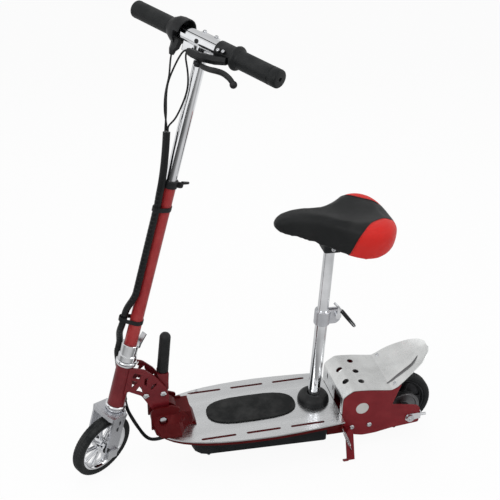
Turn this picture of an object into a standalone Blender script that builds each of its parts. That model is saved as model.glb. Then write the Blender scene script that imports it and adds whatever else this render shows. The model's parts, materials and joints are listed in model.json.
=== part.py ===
"""Folding electric scooter with a seat, as an assembly of separate parts.

Metres, +Z up. The scooter points along -X, its left side faces -Y, and it stands on
its two tyres and its side stand. The handlebar is turned to the left at rest.
"""

import bpy
import bmesh
import math
from mathutils import Matrix, Vector

# Clearances
GAP = 0.0003
RUN_GAP = 0.0006
FIT = 0.00025

# Wheels
WHEEL_RADIUS = 0.070
TYRE_WIDTH = 0.024
TYRE_DEPTH = 0.0145
CROWN_FLAT = 0.010
WHEELBASE = 0.655
AXLE_RADIUS = 0.004
HUB_LENGTH = 0.032
HUB_RADIUS = 0.013
SPOKES_FRONT = 10
SPOKES_REAR = 5
WHEEL_STEPS = 24

# Steering
RAKE = math.radians(14.0)
TRAIL_OFFSET = 0.0129
STEER_TURN = math.radians(35.5)
HEAD_BOTTOM = 0.172
HEAD_LENGTH = 0.097
HEAD_RADIUS = 0.0172
CUP_HEIGHT = 0.011
CUP_RADIUS = 0.0208
COLLAR_HEIGHT = 0.037
COLLAR_RADIUS = 0.0172
STEM_RADIUS = 0.0127
STEM_TOP = 0.658
POST_RADIUS = 0.0111
BAR_HEIGHT = 0.928
POST_OVERLAP = 0.170
STEERER_RADIUS = 0.0118
SLEEVE_RADIUS = 0.0068
CORD_RADIUS = 0.0018
SLEEVE_BELOW_BAR = 0.168
SLEEVE_TOP = BAR_HEIGHT - SLEEVE_BELOW_BAR
SLEEVE_FOOT = 0.290
BAND_UPPER = 0.616
BAND_LOWER = 0.370
BAND_HEIGHT = 0.009
BAND_SLACK = 0.0016
BEND_TOP = 0.655
WIND_TOP = 0.440
WIND_RADIUS = 0.0300
WIND_TURN = math.radians(95.0)
HALF_WIND = 0.45
CLAMP_RIM = 0.0021
STRAIGHT_END = 0.006
LEADS_RADIUS = 0.0042
LUG_WIDTH = 0.005
LEVER_REACH = 0.0052
CLAMP_HEIGHT = 0.014
CLAMP_TURN = math.radians(-50.0)

# Fork
FORK_INNER = 0.0265
FORK_WALL = 0.004
FORK_TOP = 0.160
FORK_CROWN = 0.010
FORK_WIDTH = 0.034
FORK_FOOT = 0.015
AXLE_BLOCK = 0.025

# Fold bracket, between the head tube and the base on the deck
FOLD_X = 0.128
FOLD_Z = 0.127
LATCH_X = 0.131
LATCH_Z = 0.187
ANCHOR_X = 0.096
ANCHOR_Z = 0.187
BRACKET_HALF = 0.0175
BRACKET_WALL = 0.0035
CHEEK_WALL = 0.0045
BOLT_RADIUS = 0.0045
BOLT_HEAD = 0.0075
BOLT_HEAD_HEIGHT = 0.004
ARCH_RADIUS = 0.036
GRIP_LENGTH = 0.091
GRIP_RADIUS = 0.0112

# Deck
DECK_TOP = 0.103
DECK_SHEET = 0.003
DECK_NOSE = 0.107
DECK_TO_AXLE = 0.156
DECK_TAIL = WHEELBASE - DECK_TO_AXLE
DECK_HALF = 0.097
DECK_TAIL_HALF = 0.087
SLOT_Y = 0.0755
SLOT_BRIDGE = 0.021
SLOT_WIDTH = 0.006
SLOT_FIRST = 0.2335
SLOT_TO_TAIL = 0.0775
SLOT_PITCH = (DECK_TAIL - SLOT_TO_TAIL - SLOT_FIRST) / 2
SLOT_LENGTH = SLOT_PITCH - SLOT_BRIDGE
SEAT_TO_AXLE = 0.199
SEAT_X = WHEELBASE - SEAT_TO_AXLE
PAD_FRONT = 0.223
PAD_TO_SEAT = 0.041
PAD_LENGTH = SEAT_X - PAD_TO_SEAT - PAD_FRONT
PAD_CENTRE = PAD_FRONT + PAD_LENGTH / 2
PAD_WIDTH = 0.082
PAD_THICK = 0.003
TUB_DEPTH = 0.011
TUB_INSET = 0.005
CASE_FRONT = 0.186
CASE_TO_AXLE = 0.187
CASE_REAR = WHEELBASE - CASE_TO_AXLE
CASE_BOTTOM = 0.047
CASE_HALF = 0.068
CASE_WALL = 0.003
CELL_LENGTH = 0.118
CELL_WIDTH = 0.100
CELL_SHIFT = -0.004
CELL_HEIGHT = 0.030

# Rear end
PLATE_Y = 0.060
PLATE_WALL = 0.003
RAIL_HEIGHT = 0.040
RAIL_WALL = 0.010
FENDER_SHEET = 0.0016
MOTOR_TO_AXLE = 0.110
MOTOR_X = WHEELBASE - MOTOR_TO_AXLE
MOTOR_Z = 0.112
MOTOR_RADIUS = 0.034
CHAIN_Y = 0.041
CHAIN_PITCH = 0.00635
CHAIN_WIDTH = 0.006
PINION_TEETH = 11
SPROCKET_TEETH = 44
DRUM_RADIUS = 0.034
BAND_WALL = 0.002
DRUM_WIDTH = 0.014
DRUM_CLEAR = 0.004
SPROCKET_WALL = 0.0025
MOTOR_BOSS = 0.0128
AXLE_SLOT = 0.013
AXLE_TO_EDGE = 0.023
ADJUSTER_WALL = 0.002
FENDER_HOLES = ((-0.1060, 0.0400), (-0.1380, 0.0170), (-0.1060, 0.0030),
                (-0.1380, -0.0250), (-0.1060, -0.0330))
FENDER_SLOTS = ((0.0355, 0.131, 0.014), (-0.0025, 0.129, 0.014))

# Seat
SEAT_LEAN = math.radians(2.0)
SEAT_DOME_RADIUS = 0.034
SEAT_DOME_HEIGHT = 0.020
SEAT_TUBE_RADIUS = 0.0127
SEAT_POST_RADIUS = 0.0111
SEAT_TUBE_TOP = 0.332
SEAT_COLLAR_HEIGHT = 0.032
SEAT_COLLAR_WALL = 0.0036
SADDLE_BASE = 0.472
SADDLE_PAD = 0.025
SADDLE_SAG = 0.0013
SEAT_FOOT = 0.095
EAR_GAP = 0.005
EAR_WALL = 0.005

# Side stand
STAND_TO_AXLE = 0.141
STAND_X = WHEELBASE - STAND_TO_AXLE
STAND_Z = 0.064
STAND_WIDTH = 0.017
STAND_THICK = 0.004
STAND_SPLAY = math.radians(21.2)
STAND_Y = 0.0785
STAND_HOOK = 0.036
LEAN = math.radians(5.2)
SPRING_WIRE = 0.0007
SPRING_RADIUS = 0.0032

# Handlebar
BAR_RADIUS = 0.0111
TEE_RADIUS = 0.0134
TEE_LEFT = 0.034
TEE_RIGHT = 0.055
BAR_HALF = 0.158
HAND_RADIUS = 0.0160
GRIP_START = 0.0745
GRIP_CAP = 0.010
HOUSING_END = 0.076
HOOD_START = 0.043
LOBE_X = -0.012
LOBE_Y = 0.055
LOBE_DROP = 0.041
PERCH_X = -0.0235
PERCH_Z = -0.0185
PERCH_RIGHT = 0.012
LEVER_Y = -0.015
LEVER_Z = -0.0300
LEVER_HALF = 0.003

COLLECTION = "electric_scooter"
CUTTERS = "cutters"


def clear_scene():
    for obj in list(bpy.data.objects):
        bpy.data.objects.remove(obj, do_unlink=True)


def make_collection(name, hidden=False):
    group = bpy.data.collections.new(name)
    bpy.context.scene.collection.children.link(group)
    group.hide_render = hidden
    return group


def finish(name, colour, roughness, metallic=0.0):
    """A Principled material with the part's colour, roughness and metallic value."""
    made = bpy.data.materials.get(name)
    if made:
        return made
    made = bpy.data.materials.new(name)
    made.use_nodes = True
    made.diffuse_color = (*colour, 1.0)
    shader = made.node_tree.nodes["Principled BSDF"]
    shader.inputs["Base Color"].default_value = (*colour, 1.0)
    shader.inputs["Roughness"].default_value = roughness
    shader.inputs["Metallic"].default_value = metallic
    return made


def chrome(name):
    return finish(name, (0.72, 0.73, 0.74), 0.18, 1.0)


def steel(name):
    return finish(name, (0.45, 0.46, 0.47), 0.38, 1.0)


def red_paint(name):
    return finish(name, (0.36, 0.012, 0.02), 0.25, 0.2)


def black_plastic(name):
    return finish(name, (0.012, 0.013, 0.014), 0.5)


def rubber(name):
    return finish(name, (0.015, 0.016, 0.017), 0.75)


class Shop:
    """Holds the two collections and puts each new object in one of them."""

    def __init__(self):
        self.parts = make_collection(COLLECTION)
        self.cutters = make_collection(CUTTERS, hidden=True)

    def empty(self, name, parent=None, location=(0, 0, 0), rotation=(0, 0, 0)):
        obj = bpy.data.objects.new(name, None)
        obj.empty_display_size = 0.02
        self.parts.objects.link(obj)
        obj.parent = parent
        obj.location = location
        obj.rotation_euler = rotation
        return obj

    def add(self, name, data, material, parent, matrix=None, cutter=False):
        obj = bpy.data.objects.new(name, data)
        group = self.cutters if cutter else self.parts
        group.objects.link(obj)
        obj.parent = parent
        if matrix is not None:
            obj.matrix_local = matrix
        if cutter:
            obj.hide_render = True
            obj.display_type = "WIRE"
        elif material is not None:
            data.materials.append(material)
        return obj


SHOP = None


def bm_to_mesh(name, bm, smooth=None):
    bmesh.ops.recalc_face_normals(bm, faces=bm.faces)
    mesh = bpy.data.meshes.new(name)
    bm.to_mesh(mesh)
    bm.free()
    if smooth is not None:
        mesh.shade_smooth()
        mesh.set_sharp_from_angle(angle=smooth)
    return mesh


def bevel(obj, width, segments=2, angle=math.radians(35)):
    mod = obj.modifiers.new("edges", "BEVEL")
    mod.width = width
    mod.segments = segments
    mod.limit_method = "ANGLE"
    mod.angle_limit = angle
    return obj


def boolean(obj, other, operation):
    mod = obj.modifiers.new(operation.lower() + "_" + other.name, "BOOLEAN")
    mod.operation = operation
    mod.object = other
    return obj


def box(name, low, high, material=None, parent=None, matrix=None, cutter=False):
    bm = bmesh.new()
    bmesh.ops.create_cube(bm, size=1.0)
    low, high = Vector(low), Vector(high)
    size, centre = high - low, (high + low) / 2
    bmesh.ops.scale(bm, vec=size, verts=bm.verts)
    bmesh.ops.translate(bm, vec=centre, verts=bm.verts)
    return SHOP.add(name, bm_to_mesh(name, bm), material, parent, matrix, cutter)


def rod(name, radius, start, end, material=None, parent=None, matrix=None,
        cutter=False, segments=12):
    """A cylinder between two points."""
    start, end = Vector(start), Vector(end)
    along = end - start
    turn = along.to_track_quat("Z", "Y").to_matrix().to_4x4()
    bm = bmesh.new()
    bmesh.ops.create_cone(bm, cap_ends=True, segments=segments, radius1=radius,
                          radius2=radius, depth=along.length,
                          matrix=Matrix.Translation((start + end) / 2) @ turn)
    mesh = bm_to_mesh(name, bm, smooth=math.radians(40))
    return SHOP.add(name, mesh, material, parent, matrix, cutter)


def lathe(name, profile, material=None, parent=None, matrix=None, steps=32,
          cutter=False, ring=False):
    """Turns a profile of (radius, height) points, top to bottom, about local Z."""
    mesh = bpy.data.meshes.new(name)
    points = [(r, 0.0, z) for r, z in profile]
    edges = [(i, i + 1) for i in range(len(points) - 1)]
    if ring:
        edges.append((len(points) - 1, 0))
    mesh.from_pydata(points, edges, [])
    obj = SHOP.add(name, mesh, material, parent, matrix, cutter)
    mod = obj.modifiers.new("turn", "SCREW")
    mod.axis = "Z"
    mod.steps = mod.render_steps = steps
    mod.use_merge_vertices = True
    mod.merge_threshold = 0.00001
    mod.use_smooth_shade = True
    return obj


def outline(name, loops, thickness, material=None, parent=None, matrix=None,
            cutter=False):
    """A flat sheet from closed loops; a loop inside another is a hole."""
    curve = bpy.data.curves.new(name, "CURVE")
    curve.dimensions = "2D"
    curve.fill_mode = "BOTH"
    curve.extrude = thickness / 2
    for loop in loops:
        spline = curve.splines.new("POLY")
        spline.points.add(len(loop) - 1)
        for point, (x, y) in zip(spline.points, loop):
            point.co = (x, y, 0.0, 1.0)
        spline.use_cyclic_u = True
    obj = SHOP.add(name, curve, material, parent, matrix, cutter)
    return meshed(obj)


def meshed(obj):
    """Turns a curve object into a mesh object with welded caps."""
    bpy.context.view_layer.update()
    graph = bpy.context.evaluated_depsgraph_get()
    mesh = bpy.data.meshes.new_from_object(obj.evaluated_get(graph))
    bm = bmesh.new()
    bm.from_mesh(mesh)
    bmesh.ops.remove_doubles(bm, verts=bm.verts, dist=0.000005)
    bmesh.ops.recalc_face_normals(bm, faces=bm.faces)
    bm.to_mesh(mesh)
    bm.free()
    name, parent, local = obj.name, obj.parent, obj.matrix_local.copy()
    groups = list(obj.users_collection)
    hidden, display = obj.hide_render, obj.display_type
    bpy.data.objects.remove(obj, do_unlink=True)
    made = bpy.data.objects.new(name, mesh)
    for group in groups:
        group.objects.link(made)
    made.parent = parent
    made.matrix_local = local
    made.hide_render = hidden
    made.display_type = display
    mesh.shade_smooth()
    mesh.set_sharp_from_angle(angle=math.radians(35))
    return made


def tube(name, points, radius, material=None, parent=None, matrix=None,
         resolution=3, radii=None, cutter=False):
    """A round tube along a POLY spline, with filled caps."""
    curve = bpy.data.curves.new(name, "CURVE")
    curve.dimensions = "3D"
    curve.bevel_depth = radius
    curve.bevel_resolution = resolution
    curve.use_fill_caps = True
    spline = curve.splines.new("POLY")
    spline.points.add(len(points) - 1)
    for index, place in enumerate(points):
        spline.points[index].co = (*place, 1.0)
        if radii is not None:
            spline.points[index].radius = radii[index]
    obj = SHOP.add(name, curve, material, parent, matrix, cutter)
    return meshed(obj)


def arc(centre, radius, start, end, count):
    """Points on an arc, angles in degrees."""
    made = []
    for i in range(count + 1):
        angle = math.radians(start + (end - start) * i / count)
        made.append((centre[0] + radius * math.cos(angle),
                     centre[1] + radius * math.sin(angle)))
    return made


def circle(centre, radius, count=20):
    return arc(centre, radius, 0.0, 360.0, count)[:-1]


def rounded(corners, radius, count=4):
    """A closed polygon whose corners are rounded; radius is one value or one per corner."""
    made = []
    total = len(corners)
    for i, corner in enumerate(corners):
        size = radius[i] if isinstance(radius, (list, tuple)) else radius
        here = Vector(corner)
        before = Vector(corners[i - 1]) - here
        after = Vector(corners[(i + 1) % total]) - here
        if size <= 0:
            made.append(tuple(here))
            continue
        opening = before.angle(after)
        reach = min(size / math.tan(opening / 2), before.length * 0.48, after.length * 0.48)
        size = reach * math.tan(opening / 2)
        first = here + before.normalized() * reach
        last = here + after.normalized() * reach
        middle = here + (before.normalized() + after.normalized()).normalized() * (
            size / math.sin(opening / 2))
        a0 = math.atan2(first.y - middle.y, first.x - middle.x)
        a1 = math.atan2(last.y - middle.y, last.x - middle.x)
        turn = (a1 - a0 + math.pi) % (2 * math.pi) - math.pi
        for k in range(count + 1):
            angle = a0 + turn * k / count
            made.append((middle.x + size * math.cos(angle), middle.y + size * math.sin(angle)))
    return made


def smooth_path(knots, count):
    """Evenly numbered points on a Catmull-Rom curve through the knots."""
    knots = [Vector(k) for k in knots]
    ends = [knots[0] * 2 - knots[1]] + knots + [knots[-1] * 2 - knots[-2]]
    fine = []
    for i in range(1, len(ends) - 2):
        p0, p1, p2, p3 = ends[i - 1], ends[i], ends[i + 1], ends[i + 2]
        for k in range(12):
            t = k / 12
            fine.append(0.5 * ((2 * p1) + (p2 - p0) * t + (2 * p0 - 5 * p1 + 4 * p2 - p3) * t * t
                               + (3 * p1 - p0 - 3 * p2 + p3) * t ** 3))
    fine.append(knots[-1])
    lengths = [0.0]
    for a, b in zip(fine, fine[1:]):
        lengths.append(lengths[-1] + (b - a).length)
    made = []
    step = 0
    for i in range(count):
        target = lengths[-1] * i / (count - 1)
        while step < len(fine) - 2 and lengths[step + 1] < target:
            step += 1
        span = lengths[step + 1] - lengths[step]
        share = (target - lengths[step]) / span if span > 0 else 0.0
        made.append(fine[step].lerp(fine[step + 1], min(max(share, 0.0), 1.0)))
    return made


# An outline drawn as (x, z) stands in the XZ plane; its thickness runs along Y.
UPRIGHT = Matrix.Rotation(math.radians(90), 4, "X")
# A turned piece whose axis runs along Y.
CROSSWISE = Matrix.Rotation(math.radians(-90), 4, "X")


def upright_at(y):
    return Matrix.Translation((0, y, 0)) @ UPRIGHT


def axle_at(x, y, z):
    return Matrix.Translation((x, y, z)) @ CROSSWISE


# Places that follow from the sizes above
AXIS_FOOT = -0.0042
DECK_UNDER = DECK_TOP - DECK_SHEET
TUB_TOP = DECK_UNDER - GAP
TUB_BOTTOM = TUB_TOP - TUB_DEPTH
HEAD_TOP = HEAD_BOTTOM + HEAD_LENGTH
COLLAR_BOTTOM = HEAD_TOP + CUP_HEIGHT + 3 * GAP
COLLAR_TOP = COLLAR_BOTTOM + COLLAR_HEIGHT
CHEEK_INNER = BRACKET_HALF + BOLT_HEAD_HEIGHT + 2 * GAP
CHEEK_OUTER = CHEEK_INNER + CHEEK_WALL
CORE_HALF = BRACKET_HALF - BRACKET_WALL - RUN_GAP
PLATE_OUTER = PLATE_Y + PLATE_WALL
PITCH_SPROCKET = CHAIN_PITCH / (2 * math.sin(math.pi / SPROCKET_TEETH))
PITCH_PINION = CHAIN_PITCH / (2 * math.sin(math.pi / PINION_TEETH))
CHAIN_HALF = CHAIN_PITCH * 0.45
HUB_LEFT = -TYRE_WIDTH / 2 - DRUM_CLEAR - DRUM_WIDTH - 0.004
HUB_RIGHT = CHAIN_Y + 0.006
COLLAR_STEP = COLLAR_BOTTOM + COLLAR_HEIGHT * 0.45
SADDLE_UNDER = SADDLE_BASE + SADDLE_PAD
CORD_CENTRE = STEM_RADIUS + SLEEVE_RADIUS + GAP


def wheel_height():
    """Height of the front axle along the steering axis that puts the turned tyre on the ground."""
    corner = (TYRE_WIDTH - CROWN_FLAT) / 2
    lean = math.asin(math.sin(RAKE) * math.sin(STEER_TURN))
    rise = (WHEEL_RADIUS - corner) * math.cos(lean) + CROWN_FLAT / 2 * math.sin(lean) + corner
    return (rise - TRAIL_OFFSET * math.cos(STEER_TURN) * math.sin(RAKE)) / math.cos(RAKE)


FRONT_AXLE = wheel_height()
# How far the ground lies below the origin when the wheels stand on the left edges of their crowns
GROUND_DROP = (TYRE_WIDTH - CROWN_FLAT) / 2 * (1 - math.cos(LEAN)) + CROWN_FLAT / 2 * math.sin(LEAN)
SPRING_PEG_Y = -DECK_TAIL_HALF - 0.004


class Frames:
    """The empties that carry the moving assemblies, each on its joint's axis."""

    def __init__(self):
        shop = SHOP
        self.root = shop.empty("scooter", None, (0, 0, 0), (LEAN, 0, 0))
        self.fold = shop.empty("fold_axis", self.root, (FOLD_X, 0, FOLD_Z))
        self.fold_ground = shop.empty("fold_ground", self.fold, (-FOLD_X, 0, -FOLD_Z))
        self.latch = shop.empty("latch_axis", self.fold_ground, (LATCH_X, 0, LATCH_Z))
        self.head = shop.empty("head_axis", self.fold_ground, (AXIS_FOOT, 0, 0), (0, RAKE, 0))
        self.steer = shop.empty("steer_axis", self.head, (0, 0, 0), (0, 0, STEER_TURN))
        self.front_wheel = shop.empty("front_wheel_axis", self.steer,
                                      (-TRAIL_OFFSET, 0, FRONT_AXLE))
        self.bar = shop.empty("bar_axis", self.steer, (0, 0, BAR_HEIGHT))
        self.rear_wheel = shop.empty("rear_wheel_axis", self.root,
                                     (WHEELBASE, 0, WHEEL_RADIUS))
        self.motor = shop.empty("motor_axis", self.root, (MOTOR_X, 0, MOTOR_Z))
        self.seat = shop.empty("seat_axis", self.root, (SEAT_X, 0, DECK_TOP), (0, SEAT_LEAN, 0))


def tyre(name, parent):
    half = TYRE_WIDTH / 2
    flat = CROWN_FLAT / 2
    corner = half - flat
    inner = WHEEL_RADIUS - TYRE_DEPTH
    side = WHEEL_RADIUS - corner
    profile = [(inner, half * 0.78), (inner + 0.003, half)]
    profile += arc((side, flat), corner, 90, 0, 2)
    profile += arc((side, -flat), corner, 0, -90, 2)
    profile += [(inner + 0.003, -half), (inner, -half * 0.78)]
    return lathe(name, profile, finish("tyre_rubber", (0.012, 0.013, 0.015), 0.6), parent,
                 CROSSWISE, steps=WHEEL_STEPS, ring=True)


def spoke_windows(name, count, inner, outer, web, parent):
    """One cutter with a rounded window between each pair of spokes."""
    loops = []
    for i in range(count):
        middle = 2 * math.pi * (i + 0.5) / count
        reach_out = math.pi / count - web / outer / 2
        reach_in = max(math.pi / count - web / inner / 2, 0.02)
        corners = []
        for radius, turn in ((inner, -reach_in), (outer, -reach_out), (outer * 1.015, 0.0),
                             (outer, reach_out), (inner, reach_in)):
            corners.append((radius * math.cos(middle + turn), radius * math.sin(middle + turn)))
        loops.append(rounded(corners, [0, 0.004, 0, 0.004, 0], 1))
    return outline(name, loops, 0.06, parent=parent, matrix=CROSSWISE, cutter=True)


def hub_profile(bore, left, right, shoulder, drum=None):
    """Closed profile of a rim, web and barrel, whose right end steps down at the shoulder."""
    rim = WHEEL_RADIUS - TYRE_DEPTH - GAP
    rim_half = TYRE_WIDTH * 0.42
    web = 0.0035
    profile = [(bore, right), (HUB_RADIUS, right), (HUB_RADIUS, shoulder),
               (HUB_RADIUS + 0.002, shoulder), (HUB_RADIUS + 0.002, web + 0.004),
               (rim - 0.008, web), (rim - 0.005, rim_half), (rim, rim_half),
               (rim, -rim_half), (rim - 0.005, -rim_half), (rim - 0.008, -web)]
    if drum:
        radius, start, end = drum
        profile += [(HUB_RADIUS + 0.002, -web - 0.002), (HUB_RADIUS + 0.002, start),
                    (radius, start), (radius, end), (HUB_RADIUS, end)]
    else:
        profile += [(HUB_RADIUS + 0.002, -web - 0.004), (HUB_RADIUS, left)]
    profile += [(HUB_RADIUS, left), (bore, left)] if drum else [(bore, left)]
    return profile


def front_wheel(frames):
    parent = frames.front_wheel
    tyre("front_tyre", parent)
    bore = AXLE_RADIUS + RUN_GAP
    half = HUB_LENGTH / 2
    hub = lathe("front_hub", hub_profile(bore, -half, half, half - 0.002), chrome("hub_chrome"), parent,
                CROSSWISE, steps=WHEEL_STEPS, ring=True)
    rim = WHEEL_RADIUS - TYRE_DEPTH - GAP
    boolean(hub, spoke_windows("front_windows", SPOKES_FRONT, HUB_RADIUS + 0.004,
                               rim - 0.0105, 0.0055, parent), "DIFFERENCE")


def rear_wheel(frames):
    parent = frames.rear_wheel
    tyre("rear_tyre", parent)
    bore = AXLE_RADIUS + RUN_GAP
    drum_start = -TYRE_WIDTH / 2 - DRUM_CLEAR
    drum_end = drum_start - DRUM_WIDTH
    profile = hub_profile(bore, HUB_LEFT, HUB_RIGHT, CHAIN_Y - SPROCKET_WALL / 2 - GAP,
                          (DRUM_RADIUS, drum_start, drum_end))
    hub = lathe("rear_hub", profile, black_plastic("hub_plastic"), parent, CROSSWISE,
                steps=WHEEL_STEPS, ring=True)
    rim = WHEEL_RADIUS - TYRE_DEPTH - GAP
    windows = spoke_windows("rear_windows", SPOKES_REAR, HUB_RADIUS + 0.006, rim - 0.0105,
                            0.010, parent)
    windows.location.y += 0.06 / 2 - TYRE_WIDTH / 2 - 0.002
    boolean(hub, windows, "DIFFERENCE")
    sprocket = toothed("rear_sprocket", SPROCKET_TEETH, PITCH_SPROCKET, SPROCKET_WALL,
                       HUB_RADIUS + FIT, parent, windows=5)
    sprocket.location.y = CHAIN_Y


def toothed(name, teeth, pitch_radius, thickness, bore, parent, windows=0, cutter=False):
    """A toothed wheel that ends just inside the standing chain."""
    tip = pitch_radius - CHAIN_HALF - 0.0006
    root = tip - CHAIN_PITCH * 0.26
    outer = []
    for i in range(teeth):
        for share, radius in ((0.16, tip), (0.50, root), (0.84, tip)):
            angle = 2 * math.pi * (i + share) / teeth
            outer.append((radius * math.cos(angle), radius * math.sin(angle)))
    loops = [outer]
    if bore:
        loops.append(circle((0, 0), bore, 18))
    for i in range(windows):
        angle = 2 * math.pi * i / windows
        middle = (bore + root) / 2
        loops.append(circle((middle * math.cos(angle), middle * math.sin(angle)),
                            (root - bore) * 0.3, 8))
    return outline(name, loops, thickness, steel("sprocket_steel"), parent, UPRIGHT, cutter)


def chain(frames):
    """A closed run of links round both toothed wheels, waisted between its pins."""
    big = Vector((WHEELBASE, WHEEL_RADIUS))
    small = Vector((MOTOR_X, MOTOR_Z))
    across = small - big
    distance = across.length
    heading = math.atan2(across.y, across.x)
    lean = math.acos((PITCH_SPROCKET - PITCH_PINION) / distance)
    path = []
    for i in range(61):
        angle = heading + lean + (2 * math.pi - 2 * lean) * i / 60
        path.append((big + PITCH_SPROCKET * Vector((math.cos(angle), math.sin(angle))),
                     Vector((math.cos(angle), math.sin(angle)))))
    for i in range(31):
        angle = heading - lean + 2 * lean * i / 30
        path.append((small + PITCH_PINION * Vector((math.cos(angle), math.sin(angle))),
                     Vector((math.cos(angle), math.sin(angle)))))
    path.append(path[0])
    lengths = [0.0]
    for (a, _), (b, _) in zip(path, path[1:]):
        lengths.append(lengths[-1] + (b - a).length)
    links = round(lengths[-1] / CHAIN_PITCH / 2) * 2
    outer, inner = [], []
    step = 0
    for i in range(links * 2):
        target = lengths[-1] * i / (links * 2)
        while lengths[step + 1] < target:
            step += 1
        share = (target - lengths[step]) / (lengths[step + 1] - lengths[step])
        place = path[step][0].lerp(path[step + 1][0], share)
        normal = path[step][1].lerp(path[step + 1][1], share).normalized()
        half = CHAIN_HALF if i % 2 == 0 else CHAIN_HALF * 0.72
        outer.append(tuple(place + normal * half))
        inner.append(tuple(place - normal * half))
    outline("drive_chain", [outer, inner], CHAIN_WIDTH, steel("chain_steel"), frames.root,
            upright_at(CHAIN_Y))
    print("chain links", links)


def deck_half(share):
    """Half width of the deck at a share of its length from the nose."""
    widest = 0.62
    if share < widest:
        return DECK_HALF * math.sin(math.pi / 2 * (share / widest) ** 0.42)
    drop = ((share - widest) / (1 - widest)) ** 1.5
    return DECK_HALF - (DECK_HALF - DECK_TAIL_HALF) * drop


def deck_loop(inset):
    side = []
    for i in range(15):
        share = (i / 14) ** 2
        x = DECK_NOSE + inset + (DECK_TAIL - DECK_NOSE - inset) * share
        side.append((x, max(deck_half(share) - inset, 0.0)))
    return side[:-1] + [side[-1]] + [(x, -y) for x, y in reversed(side[1:])]


def stadium(centre, length, width, count=3):
    """A long hole with round ends, along X."""
    x, y = centre
    reach = length / 2 - width / 2
    return (arc((x + reach, y), width / 2, -90, 90, count)
            + arc((x - reach, y), width / 2, 90, 270, count))


def deck(frames):
    loops = [deck_loop(0.0)]
    for side in (-1, 1):
        for i in range(3):
            loops.append(stadium((SLOT_FIRST + i * SLOT_PITCH, side * SLOT_Y), SLOT_LENGTH,
                                 SLOT_WIDTH))
    plate = outline("deck_plate", loops, DECK_SHEET, finish("deck_steel", (0.6, 0.62, 0.63), 0.3, 0.9),
                    frames.root, Matrix.Translation((0, 0, DECK_TOP - DECK_SHEET / 2)))
    pad = []
    for i in range(28):
        angle = 2 * math.pi * i / 28
        c, s = math.cos(angle), math.sin(angle)
        pad.append((PAD_CENTRE + PAD_LENGTH / 2 * math.copysign(abs(c) ** 0.62, c),
                    PAD_WIDTH / 2 * math.copysign(abs(s) ** 0.8, s)))
    mat = outline("grip_pad", [pad], PAD_THICK, rubber("pad_rubber"), frames.root,
                  Matrix.Translation((0, 0, DECK_TOP + GAP + PAD_THICK / 2)))
    bevel(mat, 0.0009, 1)
    return plate


def chassis(frames):
    """The pressed tub under the deck, with the two rails that carry the rear end."""
    red = red_paint("frame_red")
    tub = outline("deck_tub", [deck_loop(TUB_INSET)], TUB_DEPTH, red, frames.root,
                  Matrix.Translation((0, 0, TUB_TOP - TUB_DEPTH / 2)))
    rail_out = PLATE_Y - GAP
    for side, label in ((-1, "left"), (1, "right")):
        ends = sorted((side * rail_out, side * (rail_out - RAIL_WALL)))
        rail = box("rail_" + label, (CASE_REAR + 0.003, ends[0], TUB_BOTTOM + 0.002 - RAIL_HEIGHT),
                   (MOTOR_X + 0.032, ends[1], TUB_BOTTOM + 0.002), parent=frames.root, cutter=True)
        boolean(tub, rail, "UNION")
    cradle_top = MOTOR_Z - MOTOR_RADIUS - GAP
    cross = box("cross_member", (CASE_REAR + 0.006, -rail_out + 0.002, cradle_top - 0.016),
                (MOTOR_X - 0.028, rail_out - 0.002, TUB_BOTTOM + 0.001), parent=frames.root,
                cutter=True)
    boolean(tub, cross, "UNION")
    cradle = box("motor_cradle", (MOTOR_X - 0.030, -rail_out + 0.003, cradle_top - 0.005),
                 (MOTOR_X + 0.026, CHAIN_Y - CHAIN_WIDTH / 2 - 0.005, cradle_top),
                 parent=frames.root, cutter=True)
    boolean(tub, cradle, "UNION")
    peg = rod("spring_peg", 0.0016,
              (STAND_X - 0.022, -DECK_TAIL_HALF + TUB_INSET + 0.006, TUB_BOTTOM + 0.004),
              (STAND_X - 0.022, SPRING_PEG_Y - 0.0025, TUB_BOTTOM + 0.004), parent=frames.root,
              cutter=True, segments=10)
    boolean(tub, peg, "UNION")

    case_top = TUB_BOTTOM - GAP
    height = case_top - CASE_BOTTOM
    corners = [(CASE_FRONT, -CASE_HALF + 0.010), (CASE_REAR, -CASE_HALF - 0.002),
               (CASE_REAR, CASE_HALF + 0.002), (CASE_FRONT, CASE_HALF - 0.010)]
    case = outline("battery_case", [rounded(corners, [0.030, 0.006, 0.006, 0.030], 3)], height,
                   black_plastic("case_plastic"), frames.root,
                   Matrix.Translation((0, 0, CASE_BOTTOM + height / 2)))
    bevel(case, 0.005, 2, math.radians(60))
    cell_low, cell_high = CELL_SHIFT - CELL_WIDTH / 2, CELL_SHIFT + CELL_WIDTH / 2
    nose = CASE_FRONT + 0.024
    inside = box("case_inside", (nose, cell_low - GAP, CASE_BOTTOM + CASE_WALL),
                 (CASE_REAR - CASE_WALL, cell_high + GAP, case_top + 0.01),
                 parent=frames.root, cutter=True)
    boolean(case, inside, "DIFFERENCE")
    floor = CASE_BOTTOM + CASE_WALL + GAP
    first = nose + GAP
    pack = box("battery_pack", (first, cell_low, floor),
               (first + 2 * CELL_LENGTH, cell_high, floor + CELL_HEIGHT),
               finish("battery_grey", (0.10, 0.10, 0.11), 0.6), frames.root)
    seam = box("battery_seam", (first + CELL_LENGTH - 0.002, -0.1, floor + 0.012),
               (first + CELL_LENGTH + 0.002, 0.1, floor + CELL_HEIGHT + 0.01),
               parent=frames.root, cutter=True)
    boolean(pack, seam, "DIFFERENCE")


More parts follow.
